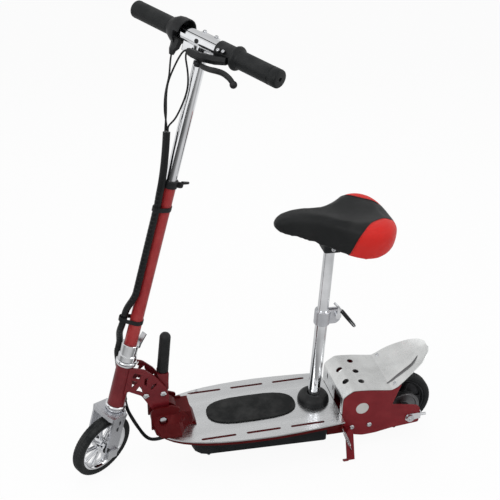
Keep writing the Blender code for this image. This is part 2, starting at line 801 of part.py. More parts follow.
def loft(name, rings, material=None, parent=None, matrix=None, cutter=False, smooth=None):
    """A closed body through rings of equal count, capped at both ends."""
    bm = bmesh.new()
    rows = [[bm.verts.new(p) for p in ring] for ring in rings]
    count = len(rings[0])
    for low, high in zip(rows, rows[1:]):
        for i in range(count):
            j = (i + 1) % count
            bm.faces.new((low[i], low[j], high[j], high[i]))
    bm.faces.new(list(reversed(rows[0])))
    bm.faces.new(rows[-1])
    return SHOP.add(name, bm_to_mesh(name, bm, smooth), material, parent, matrix, cutter)


def fold_base(frames):
    """Red base on the deck's nose: two cheeks, a core under the latch and a flared foot."""
    red = red_paint("frame_red")
    foot = DECK_TOP + GAP
    pivot = (FOLD_X, FOLD_Z)
    half = deck_half((FOLD_X - DECK_NOSE) / (DECK_TAIL - DECK_NOSE))
    spread = [(-0.0205, 0.36), (-0.017, 0.82), (-0.007, 1.08), (0.020, 1.14), (0.034, 1.09),
              (0.040, 0.84), (0.047, 0.62), (0.069, 0.40)]
    upper = [-0.022, -0.020, -0.010, 0.018, 0.030, 0.038, 0.044, 0.058]
    low = [(FOLD_X + x, half * w) for x, w in spread]
    tuck = 0.0011
    high = [(FOLD_X + x, CHEEK_OUTER - tuck) for x in upper]
    low = low + [(x, -y) for x, y in reversed(low)]
    high = high + [(x, -y) for x, y in reversed(high)]
    middle = [((a + 2 * c) / 3, (b + 2 * d) / 3) for (a, b), (c, d) in zip(low, high)]
    rings = [[(x, y, foot) for x, y in low], [(x, y, foot + 0.004) for x, y in low],
             [(x, y, foot + 0.016) for x, y in middle],
             [(x, y, foot + 0.036) for x, y in high]]
    base = loft("fold_base", rings, red, frames.root)

    cheek = [(-0.024, foot + 0.001 - FOLD_Z), (-0.0245, 0.0215), (-0.0165, 0.0300), (0.019, 0.0315),
             (0.036, 0.0240), (0.0315, 0.0140), (0.044, 0.0165), (0.0545, -0.0060),
             (0.0580, foot + 0.003 - FOLD_Z), (0.069, foot + 0.002 - FOLD_Z),
             (0.069, foot + 0.0005 - FOLD_Z)]
    shape = rounded([(FOLD_X + x, FOLD_Z + z) for x, z in cheek],
                    [0, 0.008, 0.010, 0.006, 0.004, 0.002, 0.006, 0.008, 0.003, 0, 0], 2)
    for side, label in ((-1, "left"), (1, "right")):
        y = side * (CHEEK_INNER + CHEEK_WALL / 2)
        boolean(base, outline("cheek_" + label, [shape], CHEEK_WALL, parent=frames.root,
                              matrix=upright_at(y), cutter=True), "UNION")
    core = [(FOLD_X - 0.018, foot + 0.001)] + arc(pivot, ARCH_RADIUS, 138, 30, 12) + [
        (FOLD_X + 0.040, foot + 0.001)]
    boolean(base, outline("fold_core", [core], 2 * CORE_HALF, parent=frames.root,
                          matrix=upright_at(0), cutter=True), "UNION")
    sweep = 0.019
    for side, label in ((-1, "left"), (1, "right")):
        ends = sorted((side * CORE_HALF, side * (BRACKET_HALF + RUN_GAP)))
        slot = box("bracket_slot_" + label, (FOLD_X - 0.040, ends[0], FOLD_Z - sweep),
                   (FOLD_X + 0.026, ends[1], FOLD_Z + 0.1), parent=frames.root, cutter=True)
        boolean(base, slot, "DIFFERENCE")
    hole = rod("fold_hole", BOLT_RADIUS + FIT, (FOLD_X, -0.05, FOLD_Z), (FOLD_X, 0.05, FOLD_Z),
               parent=frames.root, cutter=True)
    boolean(base, hole, "DIFFERENCE")
    for side, label in ((-1, "left"), (1, "right")):
        recess = rod("bolt_recess_" + label, BOLT_HEAD + 0.0014,
                     (FOLD_X, side * (CHEEK_OUTER - GAP), FOLD_Z),
                     (FOLD_X, side * (CHEEK_OUTER + 0.04), FOLD_Z), parent=frames.root, cutter=True,
                     segments=16)
        boolean(base, recess, "DIFFERENCE")
    bolt("fold_bolt", CHEEK_OUTER, frames.root, (FOLD_X, 0, FOLD_Z))


def bolt(name, reach, parent, place, radius=BOLT_RADIUS, head=BOLT_HEAD, height=BOLT_HEAD_HEIGHT):
    """A cross bolt along Y with a domed head outside each face at +-reach."""
    dome = height * 0.45
    profile = [(0.0, reach + height), (head * 0.55, reach + height), (head, reach + height - dome),
               (head, reach), (radius, reach), (radius, -reach), (head, -reach),
               (head, -reach - height + dome), (head * 0.55, -reach - height),
               (0.0, -reach - height)]
    lathe(name, profile, chrome("bolt_chrome"), parent, axle_at(*place), steps=10)


def head_bracket(frames):
    """Head tube with the two lightened plates that reach back to the fold pivot."""
    red = red_paint("bracket_red")
    slope = math.tan(RAKE)

    def behind(z, out):
        return AXIS_FOOT + z * slope + out

    def under_cup(out):
        level = HEAD_TOP - 2 * GAP
        return (AXIS_FOOT + level * math.sin(RAKE) + out * math.cos(RAKE),
                level * math.cos(RAKE) - out * math.sin(RAKE))

    shape = [under_cup(0.006), under_cup(0.0205), (0.096, 0.250),
             (0.116, 0.231), (LATCH_X + 0.006, LATCH_Z + 0.013), (LATCH_X + 0.011, LATCH_Z - 0.006),
             (FOLD_X + 0.014, FOLD_Z + 0.006), (FOLD_X + 0.009, FOLD_Z - 0.0135),
             (FOLD_X - 0.009, FOLD_Z - 0.0135), (FOLD_X - 0.0145, FOLD_Z + 0.006),
             (FOLD_X - 0.024, FOLD_Z + 0.030), (ANCHOR_X - 0.009, ANCHOR_Z + 0.001),
             (behind(0.198, 0.016), 0.203), (behind(0.198, 0.006), 0.196)]
    edge = rounded(shape, [0, 0.004, 0.012, 0.012, 0.010, 0.008, 0.008, 0.008, 0.008, 0.008,
                           0.012, 0.008, 0.004, 0], 2)
    windows = [[(0.0745, 0.2435), (0.0875, 0.2390), (0.0840, 0.2285), (0.0705, 0.2340)],
               [(0.0700, 0.2265), (0.0800, 0.2220), (0.0685, 0.2100)],
               [(0.0750, 0.2010), (0.0880, 0.2110), (0.0885, 0.1975)],
               [(0.0950, 0.2300), (0.1010, 0.2290), (0.0985, 0.2110), (0.0930, 0.2140)],
               [(0.1060, 0.2060), (0.1175, 0.2150), (0.1190, 0.2110), (0.1085, 0.2020)]]
    loops = [edge] + windows
    for centre in ((FOLD_X, FOLD_Z), (LATCH_X, LATCH_Z), (ANCHOR_X, ANCHOR_Z)):
        loops.append(circle(centre, BOLT_RADIUS + FIT, 12))
    plate_y = BRACKET_HALF - BRACKET_WALL / 2
    bracket = lathe("head_bracket", [(HEAD_RADIUS - 0.0028, HEAD_TOP - GAP),
                                     (HEAD_RADIUS, HEAD_TOP - GAP),
                                     (HEAD_RADIUS, HEAD_BOTTOM + GAP),
                                     (HEAD_RADIUS - 0.0028, HEAD_BOTTOM + GAP)],
                    red, frames.head, steps=24, ring=True)
    for side, label in ((-1, "left"), (1, "right")):
        plate = outline("truss_" + label, loops, BRACKET_WALL, parent=frames.fold_ground,
                        matrix=upright_at(side * plate_y), cutter=True)
        boolean(bracket, plate, "UNION")
    bore = rod("head_bore", HEAD_RADIUS - 0.0028, (0, 0, HEAD_BOTTOM - 0.01),
               (0, 0, HEAD_TOP + 0.01), parent=frames.head, cutter=True, segments=24)
    boolean(bracket, bore, "DIFFERENCE")
    bolt("latch_bolt", BRACKET_HALF + GAP, frames.fold_ground, (LATCH_X, 0, LATCH_Z),
         head=0.0062, height=BOLT_HEAD_HEIGHT - GAP)
    bolt("anchor_bolt", BRACKET_HALF + GAP, frames.fold_ground, (ANCHOR_X, 0, ANCHOR_Z),
         head=0.0062, height=BOLT_HEAD_HEIGHT - GAP)
    bore_r = HEAD_RADIUS - 0.0050
    for name, low, high in (("head_cup_lower", HEAD_BOTTOM - CUP_HEIGHT + 2 * GAP, HEAD_BOTTOM),
                            ("head_cup_upper", HEAD_TOP, HEAD_TOP + CUP_HEIGHT)):
        lip = 0.0015
        lathe(name, [(bore_r, high), (CUP_RADIUS - lip, high), (CUP_RADIUS, high - lip),
                     (CUP_RADIUS, low + lip), (CUP_RADIUS - lip, low), (bore_r, low)],
              chrome("cup_chrome"), frames.head, steps=18, ring=True)


def latch(frames):
    """The lever whose cam bears on the base's core, with its black handle."""
    gap_to_core = math.hypot(LATCH_X - FOLD_X, LATCH_Z - FOLD_Z) - ARCH_RADIUS - 0.0004
    hub = 0.0095
    shape = (arc((0, 0), hub, 150, 235, 4) + arc((-0.001, -gap_to_core + 0.007), 0.007, 215, 325, 5)
             + arc((0, 0), hub, 305, 350, 3)
             + [(0.0125, 0.006), (0.0125, 0.022), (0.0135, 0.042), (-0.0090, 0.044),
                (-0.0070, 0.026), (-0.0040, 0.012)])
    lever = outline("latch_lever", [shape, circle((0, 0), BOLT_RADIUS + RUN_GAP, 20)],
                    2 * CORE_HALF - 0.006, red_paint("lever_red"), frames.latch, upright_at(0))
    foot = Vector((0.0015, 0, 0.036))
    tip = Vector((0.0104, 0, 0.136))
    along = (tip - foot).normalized()
    core = rod("latch_stalk", 0.0045, foot - along * 0.002, foot + along * 0.070,
               parent=frames.latch, cutter=True)
    boolean(lever, core, "UNION")
    start = 0.0085
    length = GRIP_LENGTH
    profile = [(0.0, start + length)]
    for x, y in arc((0.0, start + length - GRIP_RADIUS), GRIP_RADIUS, 70, 0, 3):
        profile.append((x, y))
    profile += [(GRIP_RADIUS * 1.05, start + length * 0.3), (GRIP_RADIUS * 1.04, start),
                (0.0045 + FIT, start), (0.0045 + FIT, 0.070 + 2 * GAP), (0.0, 0.070 + 2 * GAP)]
    turn = along.to_track_quat("Z", "Y").to_matrix().to_4x4()
    lathe("latch_grip", profile, rubber("grip_rubber"), frames.latch,
                 Matrix.Translation(foot) @ turn, steps=20)


def spring_points(start, end, radius, curls, per_curl, lead):
    """A tension spring: a straight lead at each end and even curls between."""
    start, end = Vector(start), Vector(end)
    along = (end - start).normalized()
    side = along.orthogonal().normalized()
    other = along.cross(side)
    first, last = start + along * lead, end - along * lead
    points = [start]
    total = curls * per_curl
    for i in range(total + 1):
        angle = 2 * math.pi * i / per_curl
        ease = min(1.0, i / per_curl, (total - i) / per_curl)
        offset = (side * math.cos(angle) + other * math.sin(angle)) * radius * max(ease, 0.25)
        points.append(first.lerp(last, i / total) + offset)
    points.append(end)
    return points


def least_gap(points, wire):
    """Least clear distance between parts of a tube that are more than half a turn apart."""
    least = 1.0
    for i, a in enumerate(points):
        for j in range(i + 6, len(points)):
            least = min(least, (a - points[j]).length)
    return least - 2 * wire


def fork(frames):
    """Two flat legs under a crown plate, with the steerer tube above."""
    silver = finish("fork_silver", (0.62, 0.62, 0.66), 0.35, 0.6)
    outer = FORK_INNER + FORK_WALL
    foot = FRONT_AXLE - FORK_FOOT
    back = FORK_WIDTH - 0.031
    neck = FORK_TOP - FORK_CROWN
    leg = rounded([(-0.031, FORK_TOP), (-0.029, neck - 0.006), (-0.029, foot + 0.001),
                   (-0.024, foot), (-0.004, foot), (back, foot + 0.008), (back, neck - 0.006),
                   (back + 0.004, FORK_TOP)], [0, 0.006, 0.004, 0.004, 0.006, 0.006, 0.006, 0], 2)
    loops = [leg, circle((-TRAIL_OFFSET, FRONT_AXLE), AXLE_RADIUS + FIT, 14)]
    for x, z in ((-0.0086, 0.141), (-0.014, 0.131)):
        loops.append([(x + 0.0016 * math.cos(a) + 0.0022 * math.sin(a),
                       z + 0.0048 * math.sin(a)) for a in
                      [2 * math.pi * k / 8 for k in range(8)]])
    crown = rounded([(-0.033, -outer), (back + 0.006, -outer), (back + 0.006, outer),
                     (-0.033, outer)], 0.009, 2)
    body = outline("fork", [crown], FORK_CROWN, silver, frames.steer,
                   Matrix.Translation((0, 0, FORK_TOP - FORK_CROWN / 2)))
    for side, label in ((-1, "left"), (1, "right")):
        y = side * (FORK_INNER + FORK_WALL / 2)
        boolean(body, outline("leg_" + label, loops, FORK_WALL - 0.0001, parent=frames.steer,
                              matrix=upright_at(y), cutter=True), "UNION")
    race = HEAD_BOTTOM - CUP_HEIGHT + GAP
    steerer = lathe("steerer", [(0.0, COLLAR_STEP), (STEERER_RADIUS, COLLAR_STEP),
                                (STEERER_RADIUS, race), (HEAD_RADIUS, race),
                                (HEAD_RADIUS + 0.002, FORK_TOP - 0.002), (0.0, FORK_TOP - 0.004)],
                    parent=frames.steer, steps=18, cutter=True)
    boolean(body, steerer, "UNION")
    boss = rod("fork_boss", 0.0055, (back + 0.003, -0.019, neck + 0.002),
               (back + 0.003, -0.019, race), parent=frames.steer, cutter=True)
    boolean(body, boss, "UNION")

    block = AXLE_BLOCK
    axle = rod("front_axle", AXLE_RADIUS, (-TRAIL_OFFSET, -outer - 0.004, FRONT_AXLE),
               (-TRAIL_OFFSET, outer + 0.004, FRONT_AXLE), black_plastic("block_plastic"),
               frames.steer, segments=14)
    for side, label in ((-1, "left"), (1, "right")):
        ends = sorted((side * (outer + GAP), side * (outer + GAP + 0.005)))
        end = box("axle_block_" + label,
                  (-TRAIL_OFFSET - block * 0.55, ends[0], FRONT_AXLE - block * 0.4),
                  (-TRAIL_OFFSET + block * 0.45, ends[1], FRONT_AXLE + block * 0.4),
                  parent=frames.steer, cutter=True)
        boolean(axle, end, "UNION")
        ends = sorted((side * (HUB_LENGTH / 2 + RUN_GAP), side * (FORK_INNER - GAP)))
        spacer = rod("axle_spacer_" + label, AXLE_RADIUS + 0.003,
                     (-TRAIL_OFFSET, ends[0], FRONT_AXLE), (-TRAIL_OFFSET, ends[1], FRONT_AXLE),
                     parent=frames.steer, cutter=True, segments=14)
        boolean(axle, spacer, "UNION")


def flip_lever(name, parent, hinge, reach, rise, width, material, lug_width):
    """A small blade on a cross pin; hinge is (x, z), the blade leans out as it rises."""
    x, z = hinge
    shape = rounded([(x - 0.003, z - 0.003), (x + 0.0035, z - 0.0035), (x + 0.004, z + 0.004),
                     (x + reach + 0.003, z + rise), (x + reach, z + rise + 0.001),
                     (x - 0.0005, z + 0.0065)], 0.0012, 2)
    blade = outline(name, [shape], width, material, parent, upright_at(0))
    slot = box(name + "_slot", (x - 0.02, -lug_width / 2 - FIT, z - 0.02),
               (x + 0.0075, lug_width / 2 + FIT, z + 0.0075), parent=parent, cutter=True)
    boolean(blade, slot, "DIFFERENCE")
    pin = rod(name + "_pin", 0.0016, (x, -width / 2 + 0.0005, z), (x, width / 2 - 0.0005, z),
              parent=parent, cutter=True, segments=12)
    boolean(blade, pin, "UNION")
    return blade


def lug(name, body, parent, inner, hinge, width):
    """Joins a drilled lug to a ring, behind it."""
    x, z = hinge
    ear = outline(name, [rounded([(inner, z - 0.0055), (x, z - 0.0055), (x + 0.0045, z - 0.003),
                                  (x + 0.0045, z + 0.003), (x, z + 0.0055), (inner, z + 0.0055)],
                                 [0, 0.003, 0.003, 0.003, 0.003, 0], 2),
                         circle((x, z), 0.0016 + FIT, 12)], width, parent=parent,
                  matrix=upright_at(0), cutter=True)
    boolean(body, ear, "UNION")


def stem(frames):
    parent = frames.steer
    collar = lathe("stem_collar", [(STEERER_RADIUS + FIT, COLLAR_STEP + GAP / 2),
                                   (STEM_RADIUS + FIT, COLLAR_STEP + GAP / 2),
                                   (STEM_RADIUS + FIT, COLLAR_TOP), (COLLAR_RADIUS - 0.001, COLLAR_TOP),
                                   (COLLAR_RADIUS, COLLAR_TOP - 0.001),
                                   (COLLAR_RADIUS - 0.0006, COLLAR_BOTTOM + 0.013),
                                   (COLLAR_RADIUS + 0.0014, COLLAR_BOTTOM + 0.011),
                                   (COLLAR_RADIUS + 0.0014, COLLAR_BOTTOM),
                                   (STEERER_RADIUS + FIT, COLLAR_BOTTOM)],
                   chrome("collar_silver"), parent, steps=18, ring=True)
    hinge = (COLLAR_RADIUS + LEVER_REACH, COLLAR_BOTTOM + COLLAR_HEIGHT * 0.62)
    lug("collar_lug", collar, parent, COLLAR_RADIUS - 0.002, hinge, LUG_WIDTH)
    place = SHOP.empty("stem_lever_axis", parent, (hinge[0], 0, hinge[1]))
    flip_lever("stem_cam_lever", place, (0, 0), 0.011, 0.026, 0.011, steel("lever_steel"), LUG_WIDTH)

    bore = POST_RADIUS + FIT
    lathe("stem_tube", [(bore, STEM_TOP), (STEM_RADIUS, STEM_TOP),
                        (STEM_RADIUS, COLLAR_STEP + 2 * GAP), (bore, COLLAR_STEP + 2 * GAP)],
          red_paint("stem_red"), parent, steps=20, ring=True)
    low = STEM_TOP + GAP
    edge = STEM_RADIUS + CLAMP_RIM - GAP
    clamp = lathe("post_clamp", [(bore, low + CLAMP_HEIGHT), (edge - 0.001, low + CLAMP_HEIGHT),
                                 (edge, low + CLAMP_HEIGHT - 0.001), (edge, low), (bore, low)],
                  steel("clamp_steel"), parent, Matrix.Rotation(CLAMP_TURN, 4, "Z"), steps=18,
                  ring=True)
    hinge = (edge + LEVER_REACH, low + CLAMP_HEIGHT / 2)
    lug("clamp_lug", clamp, clamp, STEM_RADIUS - 0.0008, hinge, LUG_WIDTH * 0.8)
    place = SHOP.empty("clamp_lever_axis", parent,
                         (hinge[0] * math.cos(CLAMP_TURN), hinge[0] * math.sin(CLAMP_TURN), hinge[1]),
                         (0, 0, CLAMP_TURN))
    flip_lever("clamp_wing", place, (0, 0), 0.012, 0.008, 0.008, steel("lever_steel"),
               LUG_WIDTH * 0.8)


def strap(name, angle, distance, height, slack, frames):
    """A flat band round the stem and the cable bundle; the angle is to the right of the front."""
    cord = Vector((-distance * math.cos(angle), distance * math.sin(angle)))
    heading = math.atan2(cord.y, cord.x)
    loops = []
    for extra in (2 * GAP, 2 * GAP + 0.0009):
        big, small = STEM_RADIUS + extra, SLEEVE_RADIUS + extra + slack
        lean = math.acos((big - small) / distance)
        start = math.degrees(heading + lean)
        end = math.degrees(heading - lean) + 360
        loop = arc((0, 0), big, start, end, 12)
        loop += arc(tuple(cord), small, math.degrees(heading - lean), math.degrees(heading + lean), 7)
        loops.append(loop)
    outline(name, loops, BAND_HEIGHT, rubber("strap_rubber"), frames.steer,
            Matrix.Translation((0, 0, height)))


def eased(value, start, end):
    share = min(max((value - start) / (end - start), 0.0), 1.0)
    return share * share * (3 - 2 * share)


def bundle_place(height):
    """Centre of the cable bundle beside the stem at a height along the steering axis."""
    hold = BAND_HEIGHT / 2 + 0.001
    if height > WIND_TOP:
        out = CORD_CENTRE + CLAMP_RIM * eased(height, BAND_UPPER + hold, BEND_TOP)
        share = max(height - BEND_TOP, 0.0) / (SLEEVE_TOP - BEND_TOP)
        return Vector((-out, 0.0176 * share ** 1.5, height))
    wound = (HALF_WIND * eased(-height, -WIND_TOP, -BAND_LOWER - hold)
             + (1 - HALF_WIND) * eased(-height, -BAND_LOWER + hold, -SLEEVE_FOOT - STRAIGHT_END))
    angle = WIND_TURN * wound
    radius = CORD_CENTRE + (WIND_RADIUS - CORD_CENTRE) * wound
    return Vector((-radius * math.cos(angle), radius * math.sin(angle), height))


def bundle_path():
    """Points down the bundle, with a straight run through each band."""
    hold = BAND_HEIGHT / 2 + 0.001
    stops = [(SLEEVE_TOP, 7), (BAND_UPPER + hold, 1), (BAND_UPPER - hold, 3), (WIND_TOP, 5),
             (BAND_LOWER + hold, 1), (BAND_LOWER - hold, 5), (SLEEVE_FOOT + STRAIGHT_END, 1),
             (SLEEVE_FOOT, 0)]
    made = []
    for (high, count), (low, _) in zip(stops, stops[1:]):
        made += [bundle_place(high + (low - high) * i / count) for i in range(count)]
    return made + [bundle_place(SLEEVE_FOOT)]


def cords(frames):
    parent = frames.steer
    black = rubber("cable_rubber")
    path = bundle_path()
    tube("cable_sleeve", path, SLEEVE_RADIUS, black, parent, resolution=2)
    strap("band_upper", 0.0, CORD_CENTRE, BAND_UPPER, 0.0, frames)
    low = bundle_place(BAND_LOWER)
    strap("band_lower", math.atan2(low.y, -low.x), math.hypot(low.x, low.y), BAND_LOWER,
          BAND_SLACK, frames)

    upward = (path[0] - path[1]).normalized()
    across = upward.orthogonal().normalized()
    ends = []
    for turn in (0, 120, 240):
        spot = path[0] + Matrix.Rotation(math.radians(turn), 3, upward) @ across * 0.0028
        ends.append([spot + upward * 0.010, spot + upward * 2 * GAP])
    ends.sort(key=lambda pair: pair[0].y)
    bar = BAR_HEIGHT
    routes = {
        "cable_throttle": [(LOBE_X, LOBE_Y, bar - LOBE_DROP - GAP),
                           (LOBE_X, LOBE_Y, bar - LOBE_DROP - 0.004), (-0.0165, 0.0490, bar - 0.056),
                           (-0.0235, 0.0390, bar - 0.074), (-0.0280, 0.0350, bar - 0.092),
                           (-0.0295, 0.0325, bar - 0.108), (-0.0285, 0.0270, bar - 0.132),
                           *ends[2]],
        "cable_power": [(PERCH_X - 0.0033, PERCH_RIGHT + GAP, bar + PERCH_Z + 0.001),
                        (PERCH_X - 0.0033, PERCH_RIGHT + 0.004, bar + PERCH_Z + 0.001),
                        (-0.030, 0.0195, bar - 0.028), (-0.034, 0.0235, bar - 0.050),
                        (-0.0345, 0.0285, bar - 0.080), (-0.0345, 0.0255, bar - 0.104),
                        (-0.0310, 0.0205, bar - 0.132), *ends[1]],
        "cable_brake": [(PERCH_X + 0.0018, PERCH_RIGHT + GAP, bar + PERCH_Z - 0.001),
                        (PERCH_X + 0.0018, PERCH_RIGHT + 0.004, bar + PERCH_Z - 0.001),
                        (-0.0195, 0.0165, bar - 0.032), (-0.0165, 0.0090, bar - 0.050),
                        (-0.0150, 0.0030, bar - 0.068), (-0.0150, 0.0000, bar - 0.086),
                        (-0.0170, 0.0015, bar - 0.112), (-0.0200, 0.0070, bar - 0.140), *ends[0]],
    }
    for name, knots in routes.items():
        knots = [Vector(k) for k in knots]
        run = smooth_path(knots, 18)
        run.insert(1, knots[0].lerp(knots[1], 0.35))
        run.insert(-1, knots[-1].lerp(knots[-2], 0.35))
        tube(name, run, CORD_RADIUS, rubber("cord_rubber"), parent, resolution=2)

    turn = Matrix.Translation((AXIS_FOOT, 0, 0)) @ Matrix.Rotation(RAKE, 4, "Y") @ Matrix.Rotation(
        STEER_TURN, 4, "Z")
    start = turn @ (path[-1] - Vector((0, 0, 2 * GAP)))
    below = turn @ (path[-1] - Vector((0, 0, 0.012)))
    knots = [start, below, (0.0490, 0.0280, 0.252), (0.0505, 0.0280, 0.225), (0.0530, 0.0270, 0.195),
             (0.0560, 0.0255, 0.160), (0.063, 0.021, 0.125), (0.080, 0.011, 0.086),
             (0.095, 0.004, 0.064), (0.111, 0.000, 0.057), (0.135, -0.003, 0.061),
             (0.162, -0.005, 0.068), (CASE_FRONT - GAP, -0.005, 0.070)]
    route = smooth_path(knots, 34)
    radii = []
    for place in route:
        fade = min(max((place.z - 0.120) / 0.060, 0.0), 1.0)
        if place.x > 0.12:
            fade = 0.0
        radii.append(LEADS_RADIUS / SLEEVE_RADIUS + (1 - LEADS_RADIUS / SLEEVE_RADIUS) * fade)
    tube("cable_loop", route, SLEEVE_RADIUS, black, frames.root, resolution=2, radii=radii)


def handlebar(frames):
    parent = frames.bar
    silver = chrome("bar_chrome")
    post_foot = STEM_TOP - POST_OVERLAP - BAR_HEIGHT
    post = lathe("bar_post", [(0.0, -0.004), (POST_RADIUS, -0.004), (POST_RADIUS, post_foot + 0.001),
                              (POST_RADIUS - 0.001, post_foot), (0.0, post_foot)],
                 silver, parent, steps=20)
    sleeve = rod("tee_sleeve", TEE_RADIUS, (0, -TEE_LEFT, 0), (0, TEE_RIGHT, 0), parent=parent,
                 cutter=True, segments=20)
    boolean(post, sleeve, "UNION")
    block = rounded([(-0.0085, -0.006), (-0.0085, -0.028), (0.0085, -0.028), (0.0085, -0.006)],
                    [0, 0.003, 0.003, 0], 2)
    boolean(post, outline("tee_block", [block], 0.036, parent=parent, matrix=upright_at(0.022),
                          cutter=True), "UNION")
    clamp = rounded([(0.004, -0.0035), (0.0205, -0.0035), (0.0205, 0.0110), (0.004, 0.0110)],
                    [0, 0.003, 0.003, 0], 2)
    boolean(post, outline("tee_clamp", [clamp], 0.0405, parent=parent, matrix=upright_at(0.0035),
                          cutter=True), "UNION")
    for y, label in ((-0.010, "left"), (0.017, "right")):
        screw = rod("tee_screw_" + label, 0.0036, (0.0152, y, 0.002), (0.0152, y, 0.0165),
                    parent=parent, cutter=True, segments=16)
        boolean(post, screw, "UNION")
    bore = rod("tee_bore", BAR_RADIUS + FIT, (0, -0.2, 0), (0, 0.2, 0), parent=parent, cutter=True,
               segments=20)
    boolean(post, bore, "DIFFERENCE")
    rod("handlebar", BAR_RADIUS, (0, -BAR_HALF, 0), (0, BAR_HALF, 0), silver, parent, segments=20)

    hand, inner, tip = HAND_RADIUS, BAR_RADIUS + FIT, BAR_HALF + GRIP_CAP
    left = [(0.003, tip), (hand - 0.0025, tip), (hand, tip - 0.003), (hand, tip - 0.0150),
            (hand - 0.0008, tip - 0.0158), (hand - 0.0008, tip - 0.0175), (hand, tip - 0.0183),
            (hand, GRIP_START + 0.006), (hand + 0.0045, GRIP_START + 0.004),
            (hand + 0.005, GRIP_START), (hand + 0.003, GRIP_START - 0.0035),
            (inner, GRIP_START - 0.0035), (inner, BAR_HALF + GAP), (0.003, BAR_HALF + GAP)]
    lathe("grip_left", left, rubber("hand_rubber"), parent, UPRIGHT, steps=16, ring=True)
    loose = BAR_RADIUS + RUN_GAP
    right = [(0.0, tip), (hand - 0.0035, tip), (hand, tip - 0.003), (hand, HOUSING_END + RUN_GAP),
             (loose, HOUSING_END + RUN_GAP), (loose, BAR_HALF + RUN_GAP), (0.0, BAR_HALF + RUN_GAP)]
    lathe("grip_right", right, rubber("hand_rubber"), parent, CROSSWISE, steps=16)

    bell = 0.0245
    housing = lathe("throttle_housing",
                    [(inner, HOUSING_END), (hand + 0.0012, HOUSING_END), (hand + 0.003, HOUSING_END - 0.004),
                     (bell - 0.001, HOUSING_END - 0.012), (bell, HOUSING_END - 0.018),
                     (bell, HOOD_START), (bell - 0.002, HOOD_START), (bell - 0.002, TEE_RIGHT + 0.003),
                     (inner, TEE_RIGHT + 0.003)],
                    black_plastic("housing_plastic"), parent, CROSSWISE, steps=20, ring=True)
    below = box("hood_cut", (-0.05, HOOD_START - 0.01, -0.05), (0.05, TEE_RIGHT - 0.001, 0.003),
                parent=parent, cutter=True)
    boolean(housing, below, "DIFFERENCE")
    lobe = tube("housing_lobe", [(-0.004, LOBE_Y + 0.002, -0.016), (-0.008, LOBE_Y, -0.028),
                                 (LOBE_X, LOBE_Y, -LOBE_DROP + 0.008), (LOBE_X, LOBE_Y, -LOBE_DROP)],
                0.0085, parent=parent, resolution=1, radii=[1.25, 1.05, 0.8, 0.55], cutter=True)
    boolean(housing, lobe, "UNION")


def brake(frames):
    """Perch clamped on the bar's left side and the lever that turns under it."""
    parent = frames.bar
    black = black_plastic("lever_black")
    start, end = TEE_LEFT + 2 * GAP, GRIP_START - 0.0035 - 2 * GAP
    inner = BAR_RADIUS + FIT
    outer = HAND_RADIUS + 0.0005
    perch = lathe("brake_perch", [(0.0, end), (outer - 0.001, end), (outer, end - 0.001),
                                  (outer, start + 0.001), (outer - 0.001, start), (0.0, start)],
                  black, parent, UPRIGHT, steps=16)
    arm = tube("perch_arm", [(-0.0155, -end + 0.004, -0.0075), (-0.0205, -0.048, -0.0125),
                             (PERCH_X, -0.020, PERCH_Z + 0.001), (PERCH_X, 0.0, PERCH_Z),
                             (PERCH_X, PERCH_RIGHT, PERCH_Z)],
               0.008, parent=parent, resolution=1, radii=[0.9, 1.0, 1.0, 0.95, 0.75], cutter=True)
    boolean(perch, arm, "UNION")
    for x, y, z, label in ((-0.0165, -0.047, 0.0030, "inner"), (-0.0165, -0.058, 0.0045, "outer")):
        screw = rod("perch_screw_" + label, 0.0032, (x + 0.006, y, z - 0.0035),
                    (x - 0.0035, y, z + 0.002), parent=parent, cutter=True, segments=14)
        boolean(perch, screw, "UNION")
    bore = rod("perch_bore", inner, (0, -end - 0.01, 0), (0, -start + 0.01, 0), parent=parent,
               cutter=True, segments=20)
    boolean(perch, bore, "DIFFERENCE")
    post = rod("lever_post", 0.003, (PERCH_X, LEVER_Y, PERCH_Z - 0.003),
               (PERCH_X, LEVER_Y, LEVER_Z - LEVER_HALF - 0.0025), parent=parent, cutter=True)
    boolean(perch, post, "UNION")
    head = rod("lever_post_head", 0.0052, (PERCH_X, LEVER_Y, LEVER_Z - LEVER_HALF - GAP),
               (PERCH_X, LEVER_Y, LEVER_Z - LEVER_HALF - 0.0025), parent=parent, cutter=True)
    boolean(perch, head, "UNION")

    hinge = SHOP.empty("brake_lever_axis", parent, (PERCH_X, LEVER_Y, LEVER_Z))
    lever = rod("brake_lever", 0.0072, (0, 0, -LEVER_HALF), (0, 0, LEVER_HALF), black, hinge,
                segments=24)
    blade = tube("lever_blade", [(0, -0.003, 0), (-0.0065, -0.020, 0.0), (-0.0125, -0.042, 0.0),
                                 (-0.0140, -0.060, 0.0), (-0.0105, -0.075, 0.0),
                                 (-0.0050, -0.086, 0)], 0.0042, parent=hinge, resolution=1,
                 radii=[0.8, 0.85, 0.9, 1.0, 1.0, 0.95], cutter=True)
    boolean(lever, blade, "UNION")
    ball = ball_at("lever_ball", 0.0065, (-0.0045, -0.088, 0), hinge)
    boolean(lever, ball, "UNION")
    hole = rod("lever_hole", 0.003 + FIT, (0, 0, -0.01), (0, 0, 0.01), parent=hinge, cutter=True)
    boolean(lever, hole, "DIFFERENCE")


def ball_at(name, radius, centre, parent):
    bm = bmesh.new()
    bmesh.ops.create_uvsphere(bm, u_segments=10, v_segments=6, radius=radius,
                              matrix=Matrix.Translation(centre))
    return SHOP.add(name, bm_to_mesh(name, bm, math.radians(60)), None, parent, None, True)


